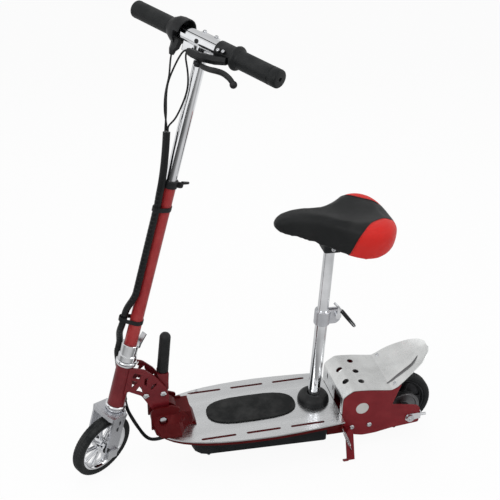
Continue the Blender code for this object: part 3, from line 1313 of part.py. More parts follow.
def side_plates(frames):
    red = red_paint("frame_red")
    axle = (WHEELBASE, WHEEL_RADIUS)
    from_axle = [(-0.1540, 0.0180), (-0.1540, 0.0710), (-0.1450, 0.0810), (-0.1300, 0.0895),
                 (-0.0970, 0.0865), (-0.0520, 0.0794), (-0.0360, 0.0830), (-0.0260, 0.0930),
                 (-0.0430, 0.0410), (0.0150, 0.0290), (0.0230, 0.0200), (0.0230, -0.0170),
                 (-0.0070, -0.0200), (-0.0410, -0.0230), (-0.0750, -0.0295), (-0.1050, -0.0310),
                 (-0.1280, -0.0250), (-0.1500, 0.0036)]
    edge = [(WHEELBASE + x, WHEEL_RADIUS + z) for x, z in from_axle]
    loops = [rounded(edge, [0.010, 0.012, 0.012, 0.016, 0.03, 0.03, 0.012, 0.0008, 0.003, 0.008,
                            0.008, 0.004, 0.03, 0.03, 0.03, 0.03, 0.014, 0.010], 2),
             circle((MOTOR_X, MOTOR_Z), MOTOR_BOSS + 0.0012, 20),
             stadium(axle, AXLE_SLOT, 2 * (AXLE_RADIUS + FIT))]
    plates = {}
    for side, label in ((-1, "left"), (1, "right")):
        y = side * (PLATE_Y + PLATE_WALL / 2)
        plates[label] = outline("side_plate_" + label, loops, PLATE_WALL, red, frames.root,
                                upright_at(y))
    return plates["left"]


def fender_rows():
    """Rows of the sheet from the rear axle: edge x, edge z, half width, drop of the middle."""
    half = PLATE_OUTER
    rows = [(-0.1555, 0.0345, half, 0.0), (-0.1555, 0.0705, half, 0.0),
            (-0.1520, 0.0778, half, 0.0), (-0.1464, 0.0830, half, 0.0),
            (-0.1390, 0.0878, half, 0.0), (-0.1300, 0.0914, half, 0.0),
            (-0.0970, 0.0886, half, 0.0), (-0.0530, 0.0817, half, 0.0),
            (-0.0440, 0.0830, half, 0.0), (-0.0365, 0.0865, half, 0.0004),
            (-0.0290, 0.0920, half - 0.001, 0.002), (-0.0200, 0.0985, half - 0.003, 0.005),
            (-0.0100, 0.1052, half - 0.006, 0.007), (0.0010, 0.1120, half - 0.010, 0.009),
            (0.0130, 0.1190, half - 0.015, 0.010), (0.0250, 0.1262, half - 0.021, 0.010),
            (0.0360, 0.1330, half - 0.030, 0.009), (0.0440, 0.1380, half - 0.040, 0.006),
            (0.0495, 0.1410, half - 0.053, 0.002)]
    return [(WHEELBASE + x, WHEEL_RADIUS + z, w, d) for x, z, w, d in rows]


def fender(frames):
    """One bent sheet over the motor and the wheel, dished towards its tail."""
    bm = bmesh.new()
    columns = 6
    grid = []
    for x, z, half, drop in fender_rows():
        row = []
        for j in range(columns + 1):
            v = math.sin(math.pi / 2 * (2 * j / columns - 1))
            row.append(bm.verts.new((x, half * v, z - drop * (1 - v * v))))
        grid.append(row)
    for a, b in zip(grid, grid[1:]):
        for j in range(columns):
            bm.faces.new((a[j], a[j + 1], b[j + 1], b[j]))
    sheet = SHOP.add("fender", bm_to_mesh("fender", bm, math.radians(50)),
                     chrome("fender_chrome"), frames.root)
    mod = sheet.modifiers.new("sheet", "SOLIDIFY")
    mod.thickness = FENDER_SHEET
    mod.offset = 0.0
    mod.use_even_offset = True
    for i, (x, y) in enumerate(FENDER_HOLES):
        x = WHEELBASE + x
        hole = rod("fender_hole_%d" % i, 0.0052, (x, y, 0.13), (x, y, 0.20), parent=frames.root,
                   cutter=True, segments=12)
        boolean(sheet, hole, "DIFFERENCE")
    x = WHEELBASE - 0.155
    for i, (y, z, length) in enumerate(FENDER_SLOTS):
        hole = box("fender_slot_%d" % i, (x - 0.01, y - 0.0026, z - length / 2),
                   (x + 0.01, y + 0.0026, z + length / 2), parent=frames.root, cutter=True)
        boolean(sheet, hole, "DIFFERENCE")
    window = box("fender_window", (x - 0.01, -0.052, 0.09), (x + 0.01, -0.012, 0.136),
                 parent=frames.root, cutter=True)
    boolean(sheet, window, "DIFFERENCE")


def drive(frames):
    silver = steel("motor_steel")
    parent = frames.motor
    left = -(PLATE_Y - RAIL_WALL - 2 * RUN_GAP)
    right = CHAIN_Y - CHAIN_WIDTH / 2 - 0.003
    shaft = 0.0045
    profile = [(0.0, right - 0.010), (shaft + FIT, right - 0.010), (shaft + FIT, right + 0.001),
               (0.012, right + 0.001), (0.012, right - 0.001), (MOTOR_RADIUS - 0.002, right - 0.001),
               (MOTOR_RADIUS, right - 0.004), (MOTOR_RADIUS, left + 0.004),
               (MOTOR_RADIUS - 0.002, left), (MOTOR_BOSS, left), (MOTOR_BOSS, -PLATE_OUTER + 0.002),
               (MOTOR_BOSS - 0.001, -PLATE_OUTER + 0.001), (0.0, -PLATE_OUTER + 0.001)]
    lathe("motor", profile, silver, parent, CROSSWISE, steps=20)
    pinion = toothed("motor_pinion", PINION_TEETH, PITCH_PINION, SPROCKET_WALL, 0.0, parent)
    pinion.location.y = CHAIN_Y
    spindle = rod("pinion_shaft", shaft, (0, right - 0.009, 0), (0, CHAIN_Y + 0.005, 0),
                  parent=parent, cutter=True)
    boolean(pinion, spindle, "UNION")
    chain(frames)

    start = -TYRE_WIDTH / 2 - DRUM_CLEAR - 0.001
    end = start - DRUM_WIDTH + 0.002
    inner = DRUM_RADIUS + RUN_GAP
    band = lathe("brake_band", [(inner, start), (inner + BAND_WALL, start), (inner + BAND_WALL, end),
                                (inner, end)], steel("band_steel"), frames.rear_wheel, CROSSWISE,
                 steps=24, ring=True)
    reach = inner + BAND_WALL / 2 + 0.003
    anchor = rod("band_anchor", 0.004, (-reach * 0.8, start - 0.002, -reach * 0.6),
                 (-reach * 0.8, -PLATE_Y + GAP, -reach * 0.6), parent=frames.rear_wheel, cutter=True)
    boolean(band, anchor, "UNION")

    outer = PLATE_OUTER + ADJUSTER_WALL + 2 * GAP
    nut = 0.0085
    axle = [(0.0, outer + 0.010), (AXLE_RADIUS, outer + 0.009), (AXLE_RADIUS, outer + 0.006),
            (nut, outer + 0.0055), (nut, outer), (AXLE_RADIUS, outer), (AXLE_RADIUS, PLATE_Y - GAP),
            (AXLE_RADIUS + 0.003, PLATE_Y - GAP), (AXLE_RADIUS + 0.003, HUB_RIGHT + RUN_GAP),
            (AXLE_RADIUS, HUB_RIGHT + RUN_GAP), (AXLE_RADIUS, HUB_LEFT - RUN_GAP),
            (AXLE_RADIUS + 0.003, HUB_LEFT - RUN_GAP), (AXLE_RADIUS + 0.003, -PLATE_Y + GAP),
            (AXLE_RADIUS, -PLATE_Y + GAP), (AXLE_RADIUS, -outer), (nut, -outer),
            (nut, -outer - 0.0055), (AXLE_RADIUS, -outer - 0.006), (AXLE_RADIUS, -outer - 0.009),
            (0.0, -outer - 0.010)]
    lathe("rear_axle", axle, steel("axle_steel"), frames.rear_wheel, CROSSWISE, steps=10)
    for side, label in ((-1, "left"), (1, "right")):
        y = side * (PLATE_OUTER + GAP + ADJUSTER_WALL / 2)
        cap = AXLE_TO_EDGE + GAP
        shape = rounded([(-0.009, -0.008), (0.004, -0.009), (cap + 0.002, -0.005),
                         (cap + 0.002, 0.009), (0.004, 0.009), (-0.009, 0.008)], 0.004, 2)
        adjuster = outline("chain_adjuster_" + label, [shape, circle((0, 0), AXLE_RADIUS + FIT, 12)],
                           ADJUSTER_WALL, chrome("adjuster_chrome"), frames.rear_wheel, upright_at(y))
        ends = sorted((side * (PLATE_Y - 0.002), side * (PLATE_OUTER + GAP + ADJUSTER_WALL)))
        bracket = box("adjuster_cap_" + label, (cap, ends[0], -0.007), (cap + 0.002, ends[1], 0.012),
                      parent=frames.rear_wheel, cutter=True)
        boolean(adjuster, bracket, "UNION")
        stud = rod("adjuster_stud_" + label, 0.003, (cap + 0.001, side * PLATE_OUTER, 0.003),
                   (cap + 0.014, side * PLATE_OUTER, 0.003), parent=frames.rear_wheel, cutter=True,
                   segments=14)
        boolean(adjuster, stud, "UNION")


def seat(frames):
    parent = frames.seat
    silver = chrome("seat_chrome")
    bore = SEAT_TUBE_RADIUS + 0.001
    edge, rise = SEAT_DOME_RADIUS, SEAT_DOME_HEIGHT
    lathe("seat_dome", [(bore, rise), (bore + 0.003, rise), (edge * 0.66, rise * 0.84),
                        (edge * 0.84, rise * 0.55), (edge * 0.96, rise * 0.24), (edge, 0.0015),
                        (edge, 0.0), (bore, 0.0)],
          black_plastic("dome_plastic"), frames.root,
          Matrix.Translation((SEAT_X, 0, DECK_TOP + GAP)), steps=20, ring=True)
    inner = SEAT_POST_RADIUS + FIT
    top = SEAT_TUBE_TOP - DECK_TOP
    lathe("seat_tube", [(inner, top), (SEAT_TUBE_RADIUS, top), (SEAT_TUBE_RADIUS, 0.001),
                        (inner, 0.001)], silver, parent, steps=20, ring=True)
    inner = SEAT_TUBE_RADIUS + FIT
    outer = inner + SEAT_COLLAR_WALL
    high = top - 2 * GAP
    low = high - SEAT_COLLAR_HEIGHT
    collar = lathe("seat_collar", [(inner, high), (outer - 0.001, high), (outer, high - 0.001),
                                   (outer, low + 0.001), (outer - 0.001, low), (inner, low)],
                   finish("collar_grey", (0.5, 0.5, 0.5), 0.35, 0.8), parent, steps=20, ring=True)
    pivot_x, pivot_z = outer + 0.0135, high - 0.011
    shape = rounded([(inner + 0.001, low + 0.001), (pivot_x - 0.002, low + 0.001),
                     (pivot_x + 0.0065, low + 0.008), (pivot_x + 0.0065, high - 0.004),
                     (pivot_x + 0.002, high - 0.0005), (inner + 0.001, high - 0.0005)],
                    [0, 0.006, 0.006, 0.004, 0.003, 0], 2)
    loops = [shape, circle((pivot_x, pivot_z), 0.0028 + FIT, 12)]
    for side, label in ((-1, "left"), (1, "right")):
        ear = outline("collar_ear_" + label, loops, EAR_WALL, parent=parent,
                      matrix=upright_at(side * (EAR_GAP / 2 + EAR_WALL / 2)), cutter=True)
        boolean(collar, ear, "UNION")
    slit = box("collar_slit", (0.005, -EAR_GAP / 2, low - 0.01), (outer + 0.001, EAR_GAP / 2, high + 0.01),
               parent=parent, cutter=True)
    boolean(collar, slit, "DIFFERENCE")
    room = rod("collar_room", inner, (0, 0, low - 0.01), (0, 0, high + 0.01), parent=parent,
               cutter=True, segments=20)
    boolean(collar, room, "DIFFERENCE")

    hinge = SHOP.empty("seat_lever_axis", parent, (pivot_x, 0, pivot_z))
    side_y = -(EAR_GAP / 2 + EAR_WALL + GAP)
    lever = rod("seat_clamp_lever", 0.0065, (0, side_y, 0), (0, side_y - 0.006, 0), silver, hinge)
    pin = rod("lever_pin", 0.0028, (0, side_y - 0.001, 0), (0, -side_y + 0.003, 0), parent=hinge,
              cutter=True, segments=16)
    nut = rod("lever_nut", 0.0055, (0, -side_y, 0), (0, -side_y + 0.004, 0), parent=hinge,
              cutter=True, segments=6)
    y = side_y - 0.003
    stalk = tube("lever_stalk", [(-0.0105, y, 0.0310), (-0.0040, y, 0.0245), (0.0040, y, 0.0140),
                                 (0.0120, y, 0.0040)], 0.0029, parent=hinge, resolution=1,
                 cutter=True)
    web = box("lever_web", (-0.003, side_y - 0.0055, 0.002), (0.003, side_y - 0.0005, 0.0200),
              parent=hinge, cutter=True)
    cover = tube("lever_cover", [(0.0060, y, 0.0115), (0.0200, y, -0.0060), (0.0365, y, -0.0265),
                                 (0.0390, y, -0.0297)], 0.0043, parent=hinge, resolution=1,
                 radii=[0.95, 1.0, 1.0, 0.7], cutter=True)
    for piece in (pin, nut, web, stalk, cover):
        boolean(lever, piece, "UNION")

    foot = SEAT_FOOT
    neck = SADDLE_BASE - DECK_TOP
    post = lathe("seat_post", [(0.0, neck + 0.004), (SEAT_POST_RADIUS, neck + 0.004),
                               (SEAT_POST_RADIUS, foot + 0.001), (SEAT_POST_RADIUS - 0.001, foot),
                               (0.0, foot)], silver, parent, steps=20)
    clamp = box("saddle_clamp", (-0.017, -0.019, neck),
                (0.019, 0.019, SADDLE_UNDER - DECK_TOP - SADDLE_SAG),
                parent=parent, cutter=True)
    bevel(clamp, 0.005, 1)
    boolean(post, clamp, "UNION")
    saddle(frames)


def saddle(frames):
    """Padded saddle: rings across its length, smoothed, with a crown and drawn-in sides."""
    under = SADDLE_PAD
    rows = [(-0.1040, 0.006, 0.0720, 0.000, 0.0640, 0.0650), (-0.0980, 0.013, 0.0790, 0.000, 0.0580, 0.0570),
            (-0.0840, 0.019, 0.0860, 0.000, 0.0520, 0.0500), (-0.0600, 0.024, 0.0890, 0.000, 0.0470, 0.0420),
            (-0.0310, 0.029, 0.0870, 0.000, 0.0400, 0.0310), (-0.0010, 0.040, 0.0810, 0.002, 0.0290, 0.0200),
            (0.0260, 0.060, 0.0760, 0.005, under, 0.0130), (0.0500, 0.079, 0.0740, 0.008, under, 0.0090),
            (0.0720, 0.088, 0.0740, 0.009, under, 0.0100), (0.0930, 0.087, 0.0750, 0.007, under, 0.0140),
            (0.1120, 0.077, 0.0740, 0.004, 0.0320, 0.0220), (0.1270, 0.056, 0.0690, 0.001, 0.0380, 0.0330),
            (0.1350, 0.026, 0.0610, 0.000, 0.0470, 0.0460)]
    turn = Matrix.Rotation(-SEAT_LEAN, 4, "Y") @ Matrix.Translation((-SEAT_X, 0, -DECK_TOP))
    rings = []
    for x, half, top, wing, low, skirt in rows:
        tall = top - skirt
        side = [(0.0, top), (0.38 * half, top + wing * 0.4), (0.70 * half, top + wing - tall * 0.03),
                (0.93 * half, top + wing - tall * 0.16), (half, top + wing * 0.6 - tall * 0.42),
                (0.95 * half, skirt + tall * 0.28), (0.84 * half, skirt + tall * 0.02),
                (0.62 * half, low * 0.7 + skirt * 0.3)]
        loop = side + [(0.0, low)] + [(-y, z) for y, z in reversed(side[1:])]
        rings.append([turn @ Vector((SEAT_X + x, y, SADDLE_BASE + z))
                      for y, z in loop])
    pad = loft("saddle", rings, finish("saddle_leather", (0.015, 0.016, 0.018), 0.45), frames.seat,
               smooth=math.radians(80))
    mod = pad.modifiers.new("smooth", "SUBSURF")
    mod.levels = mod.render_levels = 1


def stand(frames, plate):
    """Side stand on a stub of the left plate, with its tension spring."""
    axis = SHOP.empty("stand_axis", frames.root, (STAND_X, -STAND_Y, STAND_Z), (-STAND_SPLAY, 0, 0))
    half = STAND_THICK / 2
    inward = (STAND_Y - PLATE_Y - GAP - 0.008 * math.sin(STAND_SPLAY)) / math.cos(STAND_SPLAY)
    stub = lathe("stand_stub", [(0.0, inward), (0.008, inward), (0.008, half + RUN_GAP),
                                (0.005, half + RUN_GAP), (0.005, -half - RUN_GAP),
                                (0.0085, -half - RUN_GAP), (0.0075, -half - RUN_GAP - 0.003),
                                (0.0, -half - RUN_GAP - 0.003)],
                 parent=axis, matrix=CROSSWISE, steps=12, cutter=True)
    boolean(plate, stub, "UNION")
    slope = STAND_SPLAY - LEAN
    height = STAND_Z * math.cos(LEAN) - STAND_Y * math.sin(LEAN) + GROUND_DROP
    reach = (height - half * math.sin(slope)) / math.cos(slope)
    wide = STAND_WIDTH / 2
    leg = [(wide, 0.0)] + arc((0, 0), wide, 20, 160, 6) + [(-wide, 0.0), (-wide, -reach), (wide, -reach)]
    body = outline("stand_leg", [leg, circle((0, 0), 0.005 + FIT, 14)], STAND_THICK,
                   red_paint("stand_red"), axis, upright_at(0))
    tab = box("stand_tab", (-wide - 0.009, -half - 0.004, -reach), (-wide + 0.002, half, -reach + 0.003),
              parent=axis, cutter=True)
    boolean(body, tab, "UNION")
    pin_z = -STAND_HOOK
    pin = rod("stand_pin", 0.0015, (0.001, 0, pin_z), (0.001, -half - 0.009, pin_z), parent=axis,
              cutter=True, segments=10)
    boolean(body, pin, "UNION")

    place = Matrix.Translation((STAND_X, -STAND_Y, STAND_Z)) @ Matrix.Rotation(-STAND_SPLAY, 4, "X")
    wire = SPRING_WIRE
    lower = place @ Vector((0.001, -half - 0.0055, pin_z))
    upper = Vector((STAND_X - 0.022, SPRING_PEG_Y, TUB_BOTTOM + 0.004))
    along = (upper - lower).normalized()
    clear = 0.0016 + wire + GAP
    points = spring_points(upper - along * clear, lower + along * clear, SPRING_RADIUS, 10, 8, 0.009)
    tube("stand_spring", points, wire, chrome("spring_chrome"), frames.root, resolution=1)
    print("stand spring least gap mm", round(least_gap(points, wire) * 1000, 3))


def latch_tension(frames):
    """The small spring from the anchor bolt to the lever's shoulder."""
    wire = SPRING_WIRE * 0.8
    seat = wire + GAP
    start = Vector((ANCHOR_X, 0, ANCHOR_Z + BOLT_RADIUS + seat))
    end = Vector((LATCH_X - 0.0061 - 0.865 * seat, 0, LATCH_Z + 0.0084 + 0.5 * seat))
    points = spring_points(start, end, 0.0028, 5, 8, 0.0035)
    tube("latch_spring", points, wire, chrome("spring_chrome"), frames.fold_ground, resolution=1)
    print("latch spring least gap mm", round(least_gap(points, wire) * 1000, 3))


def place_root(frames):
    """Puts the middle of the bounding box's bottom on the origin and prints the joint axes."""
    bpy.context.view_layer.update()
    graph = bpy.context.evaluated_depsgraph_get()
    low, high = Vector((9, 9, 9)), Vector((-9, -9, -9))
    for obj in SHOP.parts.objects:
        if obj.type != "MESH":
            continue
        shaped = obj.evaluated_get(graph)
        mesh = shaped.to_mesh()
        for vert in mesh.vertices:
            place = shaped.matrix_world @ vert.co
            for k in range(3):
                low[k], high[k] = min(low[k], place[k]), max(high[k], place[k])
        shaped.to_mesh_clear()
    frames.root.location = (-(low.x + high.x) / 2, -(low.y + high.y) / 2, -low.z)
    bpy.context.view_layer.update()
    print("size", [round(high[k] - low[k], 4) for k in range(3)])
    for obj in SHOP.parts.objects:
        if obj.type == "EMPTY":
            spot, turn = obj.matrix_world.translation, obj.matrix_world.to_3x3()
            print("axis", obj.name, [round(v, 5) for v in spot],
                  "y", [round(v, 5) for v in turn.col[1]], "z", [round(v, 5) for v in turn.col[2]])


def main():
    global SHOP
    clear_scene()
    SHOP = Shop()
    frames = Frames()
    front_wheel(frames)
    rear_wheel(frames)
    deck(frames)
    chassis(frames)
    fold_base(frames)
    head_bracket(frames)
    latch(frames)
    latch_tension(frames)
    fork(frames)
    stem(frames)
    cords(frames)
    handlebar(frames)
    brake(frames)
    left = side_plates(frames)
    fender(frames)
    drive(frames)
    seat(frames)
    stand(frames, left)
    place_root(frames)


if __name__ == "__main__":
    main()
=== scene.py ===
"""Electric scooter, dressed: smooth pieces, procedural finishes, studio and camera over the CAD frame."""

import json
import logging
import math
from dataclasses import dataclass
from enum import Enum
from typing import Iterable, Sequence

import bmesh
import bpy
import numpy as np
from mathutils import Matrix, Vector

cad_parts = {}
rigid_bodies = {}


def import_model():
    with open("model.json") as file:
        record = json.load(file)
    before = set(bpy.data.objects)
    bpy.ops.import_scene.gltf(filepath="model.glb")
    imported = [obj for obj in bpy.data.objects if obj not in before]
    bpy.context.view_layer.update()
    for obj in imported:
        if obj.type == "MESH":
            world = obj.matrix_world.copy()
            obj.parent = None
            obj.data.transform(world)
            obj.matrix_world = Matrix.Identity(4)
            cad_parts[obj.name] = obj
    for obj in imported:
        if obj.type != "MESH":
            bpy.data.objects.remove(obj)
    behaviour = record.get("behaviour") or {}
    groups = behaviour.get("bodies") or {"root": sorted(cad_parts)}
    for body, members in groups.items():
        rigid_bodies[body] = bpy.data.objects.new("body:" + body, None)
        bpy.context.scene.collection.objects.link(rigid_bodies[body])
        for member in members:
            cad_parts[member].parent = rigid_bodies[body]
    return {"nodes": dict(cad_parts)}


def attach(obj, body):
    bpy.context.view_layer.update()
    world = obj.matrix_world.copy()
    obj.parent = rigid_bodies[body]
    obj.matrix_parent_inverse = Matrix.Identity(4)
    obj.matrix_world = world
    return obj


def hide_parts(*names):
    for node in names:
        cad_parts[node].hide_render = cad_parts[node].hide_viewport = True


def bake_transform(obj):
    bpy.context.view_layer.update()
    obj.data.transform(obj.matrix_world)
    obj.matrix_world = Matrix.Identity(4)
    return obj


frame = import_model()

logging.basicConfig(level=logging.INFO, format="%(name)s: %(message)s")
LOG = logging.getLogger("scooter")

Pair = tuple[float, float]
Point = tuple[float, float, float]
Socket = bpy.types.NodeSocket
Bend = tuple[str, Vector, Vector]

LEAN = math.radians(5.2)
SHIFT = (-0.33287, 0.06809, 0.00048)
RAKE = math.radians(14.0)
STEER_TURN = math.radians(35.5)
SEAT_LEAN = math.radians(2.0)
AXIS_FOOT = -0.0042
TRAIL = -0.0129
AXLE_UP = 0.0696
BAR_HEIGHT = 0.928
DECK_TOP = 0.103
WHEEL_RADIUS = 0.070
WHEELBASE = 0.655
SEAT_X = 0.456

ROOT = Matrix.Translation(SHIFT) @ Matrix.Rotation(LEAN, 4, "X")
HEAD = ROOT @ Matrix.Translation((AXIS_FOOT, 0, 0)) @ Matrix.Rotation(RAKE, 4, "Y")
STEER = HEAD @ Matrix.Rotation(STEER_TURN, 4, "Z")
BAR = STEER @ Matrix.Translation((0, 0, BAR_HEIGHT))
FRONT = STEER @ Matrix.Translation((TRAIL, 0, AXLE_UP))
REAR = ROOT @ Matrix.Translation((WHEELBASE, 0, WHEEL_RADIUS))
SEAT = ROOT @ Matrix.Translation((SEAT_X, 0, DECK_TOP)) @ Matrix.Rotation(SEAT_LEAN, 4, "Y")
CROSSWISE = Matrix.Rotation(math.radians(-90), 4, "X")
UPENDED = Matrix.Rotation(math.radians(90), 4, "X")


# ---------------------------------------------------------------- finishes


class Kind(Enum):
    """Families of surface that share one shader layout."""

    METAL = "metal"
    PAINT = "paint"
    PLASTIC = "plastic"
    RUBBER = "rubber"
    LEATHER = "leather"


@dataclass(frozen=True)
class Finish:
    """A surface finish: colours, gloss and the size of its grain in waves per metre."""

    name: str
    kind: Kind
    colour: tuple[float, float, float]
    rough: float
    spread: float = 0.06
    grain: float = 900.0
    depth: float = 0.00004
    coat: float = 0.0
    wear: tuple[float, float, float] = (0.4, 0.4, 0.4)
    wear_share: float = 0.0
    dust_share: float = 0.12
    stretch: tuple[float, float, float] = (1.0, 1.0, 1.0)
    specular: float = 0.24


CHROME = Finish("chrome", Kind.METAL, (0.80, 0.81, 0.83), 0.07, 0.05, 260, 0.000004, dust_share=0.03)
POLISHED = Finish("polished_deck", Kind.METAL, (0.76, 0.77, 0.78), 0.24, 0.14, 700, 0.00001,
                  dust_share=0.04, stretch=(0.06, 1.0, 1.0))
CAST = Finish("cast_alloy", Kind.METAL, (0.60, 0.61, 0.64), 0.32, 0.14, 1500, 0.00003, dust_share=0.06)
STEEL = Finish("bright_steel", Kind.METAL, (0.62, 0.63, 0.65), 0.22, 0.12, 1800, 0.00002)
SHEET = Finish("bright_sheet", Kind.METAL, (0.80, 0.81, 0.805), 0.30, 0.06, 300, 0.000006, dust_share=0.02)
CHAIN = Finish("oiled_chain", Kind.METAL, (0.20, 0.19, 0.18), 0.34, 0.18, 2000, 0.00003, dust_share=0.2)
# Dark steel for the motor, brake band and drum face; on the fender it makes a line of painted shade.
DARK_STEEL = Finish("smutty_steel", Kind.METAL, (0.16, 0.16, 0.165), 0.38, 0.14, 1800, 0.00003, dust_share=0.1)
RED = Finish("red_enamel", Kind.PAINT, (0.33, 0.013, 0.017), 0.30, 0.10, 800, 0.00002, 0.25,
             (0.46, 0.07, 0.06), 0.4, 0.03)
# Painted shade: the next three are the stem's red enamel made darker for the head bracket, for the side plates
# and stand, and most of all for the fold base and deck tub, as these parts look in shade.
BRACKET_RED_SHADED = Finish("bracket_enamel", Kind.PAINT, (0.145, 0.007, 0.012), 0.33, 0.10, 800, 0.00002, 0.20,
                     (0.27, 0.04, 0.04), 0.4, 0.02, specular=0.18)
PLATE_RED_SHADED = Finish("plate_enamel", Kind.PAINT, (0.195, 0.008, 0.014), 0.36, 0.12, 700, 0.00002, 0.12,
                   (0.30, 0.04, 0.04), 0.4, 0.02, specular=0.16)
RED_DEEP_SHADE = Finish("frame_enamel", Kind.PAINT, (0.078, 0.0008, 0.0018), 0.36, 0.12, 800, 0.00002, 0.04,
                  (0.16, 0.02, 0.02), 0.3, 0.01, specular=0.10)
BOSS = Finish("boss_lacquer", Kind.PAINT, (0.56, 0.55, 0.53), 0.42, 0.10, 900, 0.00002, dust_share=0.04)
PLASTIC = Finish("black_plastic", Kind.PLASTIC, (0.0060, 0.0068, 0.0075), 0.42, 0.12, 1600, 0.00006,
                 wear=(0.04, 0.04, 0.045), wear_share=0.4, dust_share=0.05)
CASE = Finish("case_plastic", Kind.PLASTIC, (0.0045, 0.0060, 0.0075), 0.50, 0.14, 1200, 0.00010,
              wear=(0.03, 0.03, 0.035), wear_share=0.4, dust_share=0.05)
HUB_PLASTIC = Finish("hub_plastic", Kind.PLASTIC, (0.010, 0.011, 0.0125), 0.46, 0.14, 1400, 0.00006,
                     wear=(0.06, 0.06, 0.07), wear_share=0.4, dust_share=0.05)
RUBBER = Finish("tyre_rubber", Kind.RUBBER, (0.0060, 0.0075, 0.0085), 0.62, 0.14, 1700, 0.00008)
GRIP = Finish("grip_rubber", Kind.RUBBER, (0.0080, 0.0092, 0.0098), 0.50, 0.12, 2200, 0.00008,
              dust_share=0.05)
TAPE = Finish("grip_tape", Kind.RUBBER, (0.0085, 0.0095, 0.0095), 0.78, 0.14, 2600, 0.00025,
              dust_share=0.06)
CORD = Finish("cord_sheath", Kind.RUBBER, (0.0050, 0.0056, 0.0062), 0.36, 0.10, 1400, 0.00004,
              dust_share=0.03)
LEATHER = Finish("saddle_cover", Kind.LEATHER, (0.0085, 0.0100, 0.0105), 0.46, 0.10, 620, 0.00018,
                 coat=0.05, dust_share=0.02)

COAT_ROUGHNESS = 0.12
METAL_SPECULAR = 0.5
DARKER, LIGHTER = 0.86, 1.12
SCRATCH_GLOSS, DUST_GLOSS = 0.8, 1.2
DUST = (0.42, 0.41, 0.40, 1.0)
# Painted shade: the panel's red runs from its darkest in the leather's creases to its lightest on the cells,
# and the black part turns darker still in the creases.
PANEL_LOW, PANEL_HIGH = (0.55, 0.010, 0.007, 1.0), (0.80, 0.019, 0.012, 1.0)
CREASE_SHADE = (0.004, 0.0045, 0.005, 1.0)
PANEL_BLUR = 0.0002

FLOAT, VECTOR = "NodeSocketFloat", "NodeSocketVector"
NOISE, CELLS, MAPPING = "ShaderNodeTexNoise", "ShaderNodeTexVoronoi", "ShaderNodeMapping"


class Weave:
    """Short calls that add nodes to one tree and join them up."""

    def __init__(self, tree: bpy.types.NodeTree) -> None:
        """Starts at the left of a tree."""
        self.tree = tree
        self.column = 0

    @classmethod
    def canvas(cls, owner: bpy.types.Material | bpy.types.World) -> "Weave":
        """Starts in the emptied tree of a material or a world.

        Args:
            owner: the material or world, whose default nodes are cleared.

        Returns:
            The weave of its tree.
        """
        owner.use_nodes = True
        owner.node_tree.nodes.clear()
        return cls(owner.node_tree)

    def add(self, kind: str, inputs: dict | None = None, **settings) -> bpy.types.Node:
        """Adds a node.

        Args:
            kind: the node's type name.
            inputs: socket name or number to a value or to the socket that feeds it.
            settings: properties of the node.

        Returns:
            The new node.
        """
        node = self.tree.nodes.new(kind)
        node.location = (self.column * 190, 0)
        self.column += 1
        for key, value in settings.items():
            setattr(node, key, value)
        for key, value in (inputs or {}).items():
            if isinstance(value, Socket):
                self.tree.links.new(value, node.inputs[key])
            else:
                node.inputs[key].default_value = value
        return node

    def blend(self, share: Socket, low: Socket | tuple, high: Socket | tuple) -> Socket:
        """Mixes two colours by a share and returns the colour socket."""
        return self.add("ShaderNodeMix", {0: share, 6: low, 7: high}, data_type="RGBA").outputs[2]

    def span(self, value: Socket, low: float, high: float, start: float = 0.0, end: float = 1.0) -> Socket:
        """Maps the range from start to end onto low to high and returns the result socket."""
        return self.add("ShaderNodeMapRange", {0: value, 1: start, 2: end, 3: low, 4: high}).outputs[0]

    def math(self, operation: str, first: Socket, second: Socket | float, clamp: bool = False) -> Socket:
        """Combines two values by one operation and returns the result socket."""
        node = self.add("ShaderNodeMath", {0: first, 1: second}, operation=operation, use_clamp=clamp)
        return node.outputs[0]

    def group(self, tree: bpy.types.NodeTree, **inputs: Socket | float) -> bpy.types.bpy_prop_collection:
        """Adds a node group, feeds its inputs by name and returns its outputs."""
        return self.add("ShaderNodeGroup", inputs, node_tree=tree).outputs

    def send(self, sink: bpy.types.Node, sockets: dict[str, Socket]) -> bpy.types.NodeTree:
        """Joins sockets to a node's inputs by name.

        Args:
            sink: the node that takes them.
            sockets: input name to the socket that feeds it.

        Returns:
            The tree.
        """
        for label, socket in sockets.items():
            self.tree.links.new(socket, sink.inputs[label])
        return self.tree


def new_group(name: str, inputs: dict[str, tuple], outputs: Sequence[str]) -> tuple:
    """Starts a shader node group.

    Args:
        name: the group's name.
        inputs: name of each input to its socket type and its default, or None.
        outputs: name of each output, all of them plain values.

    Returns:
        The group's weave, its input sockets and its output node.
    """
    tree = bpy.data.node_groups.new(name, "ShaderNodeTree")
    for label, (kind, default) in inputs.items():
        socket = tree.interface.new_socket(label, in_out="INPUT", socket_type=kind)
        if default is not None:
            socket.default_value = default
    for label in outputs:
        tree.interface.new_socket(label, in_out="OUTPUT", socket_type=FLOAT)
    weave = Weave(tree)
    return weave, weave.add("NodeGroupInput").outputs, weave.add("NodeGroupOutput")


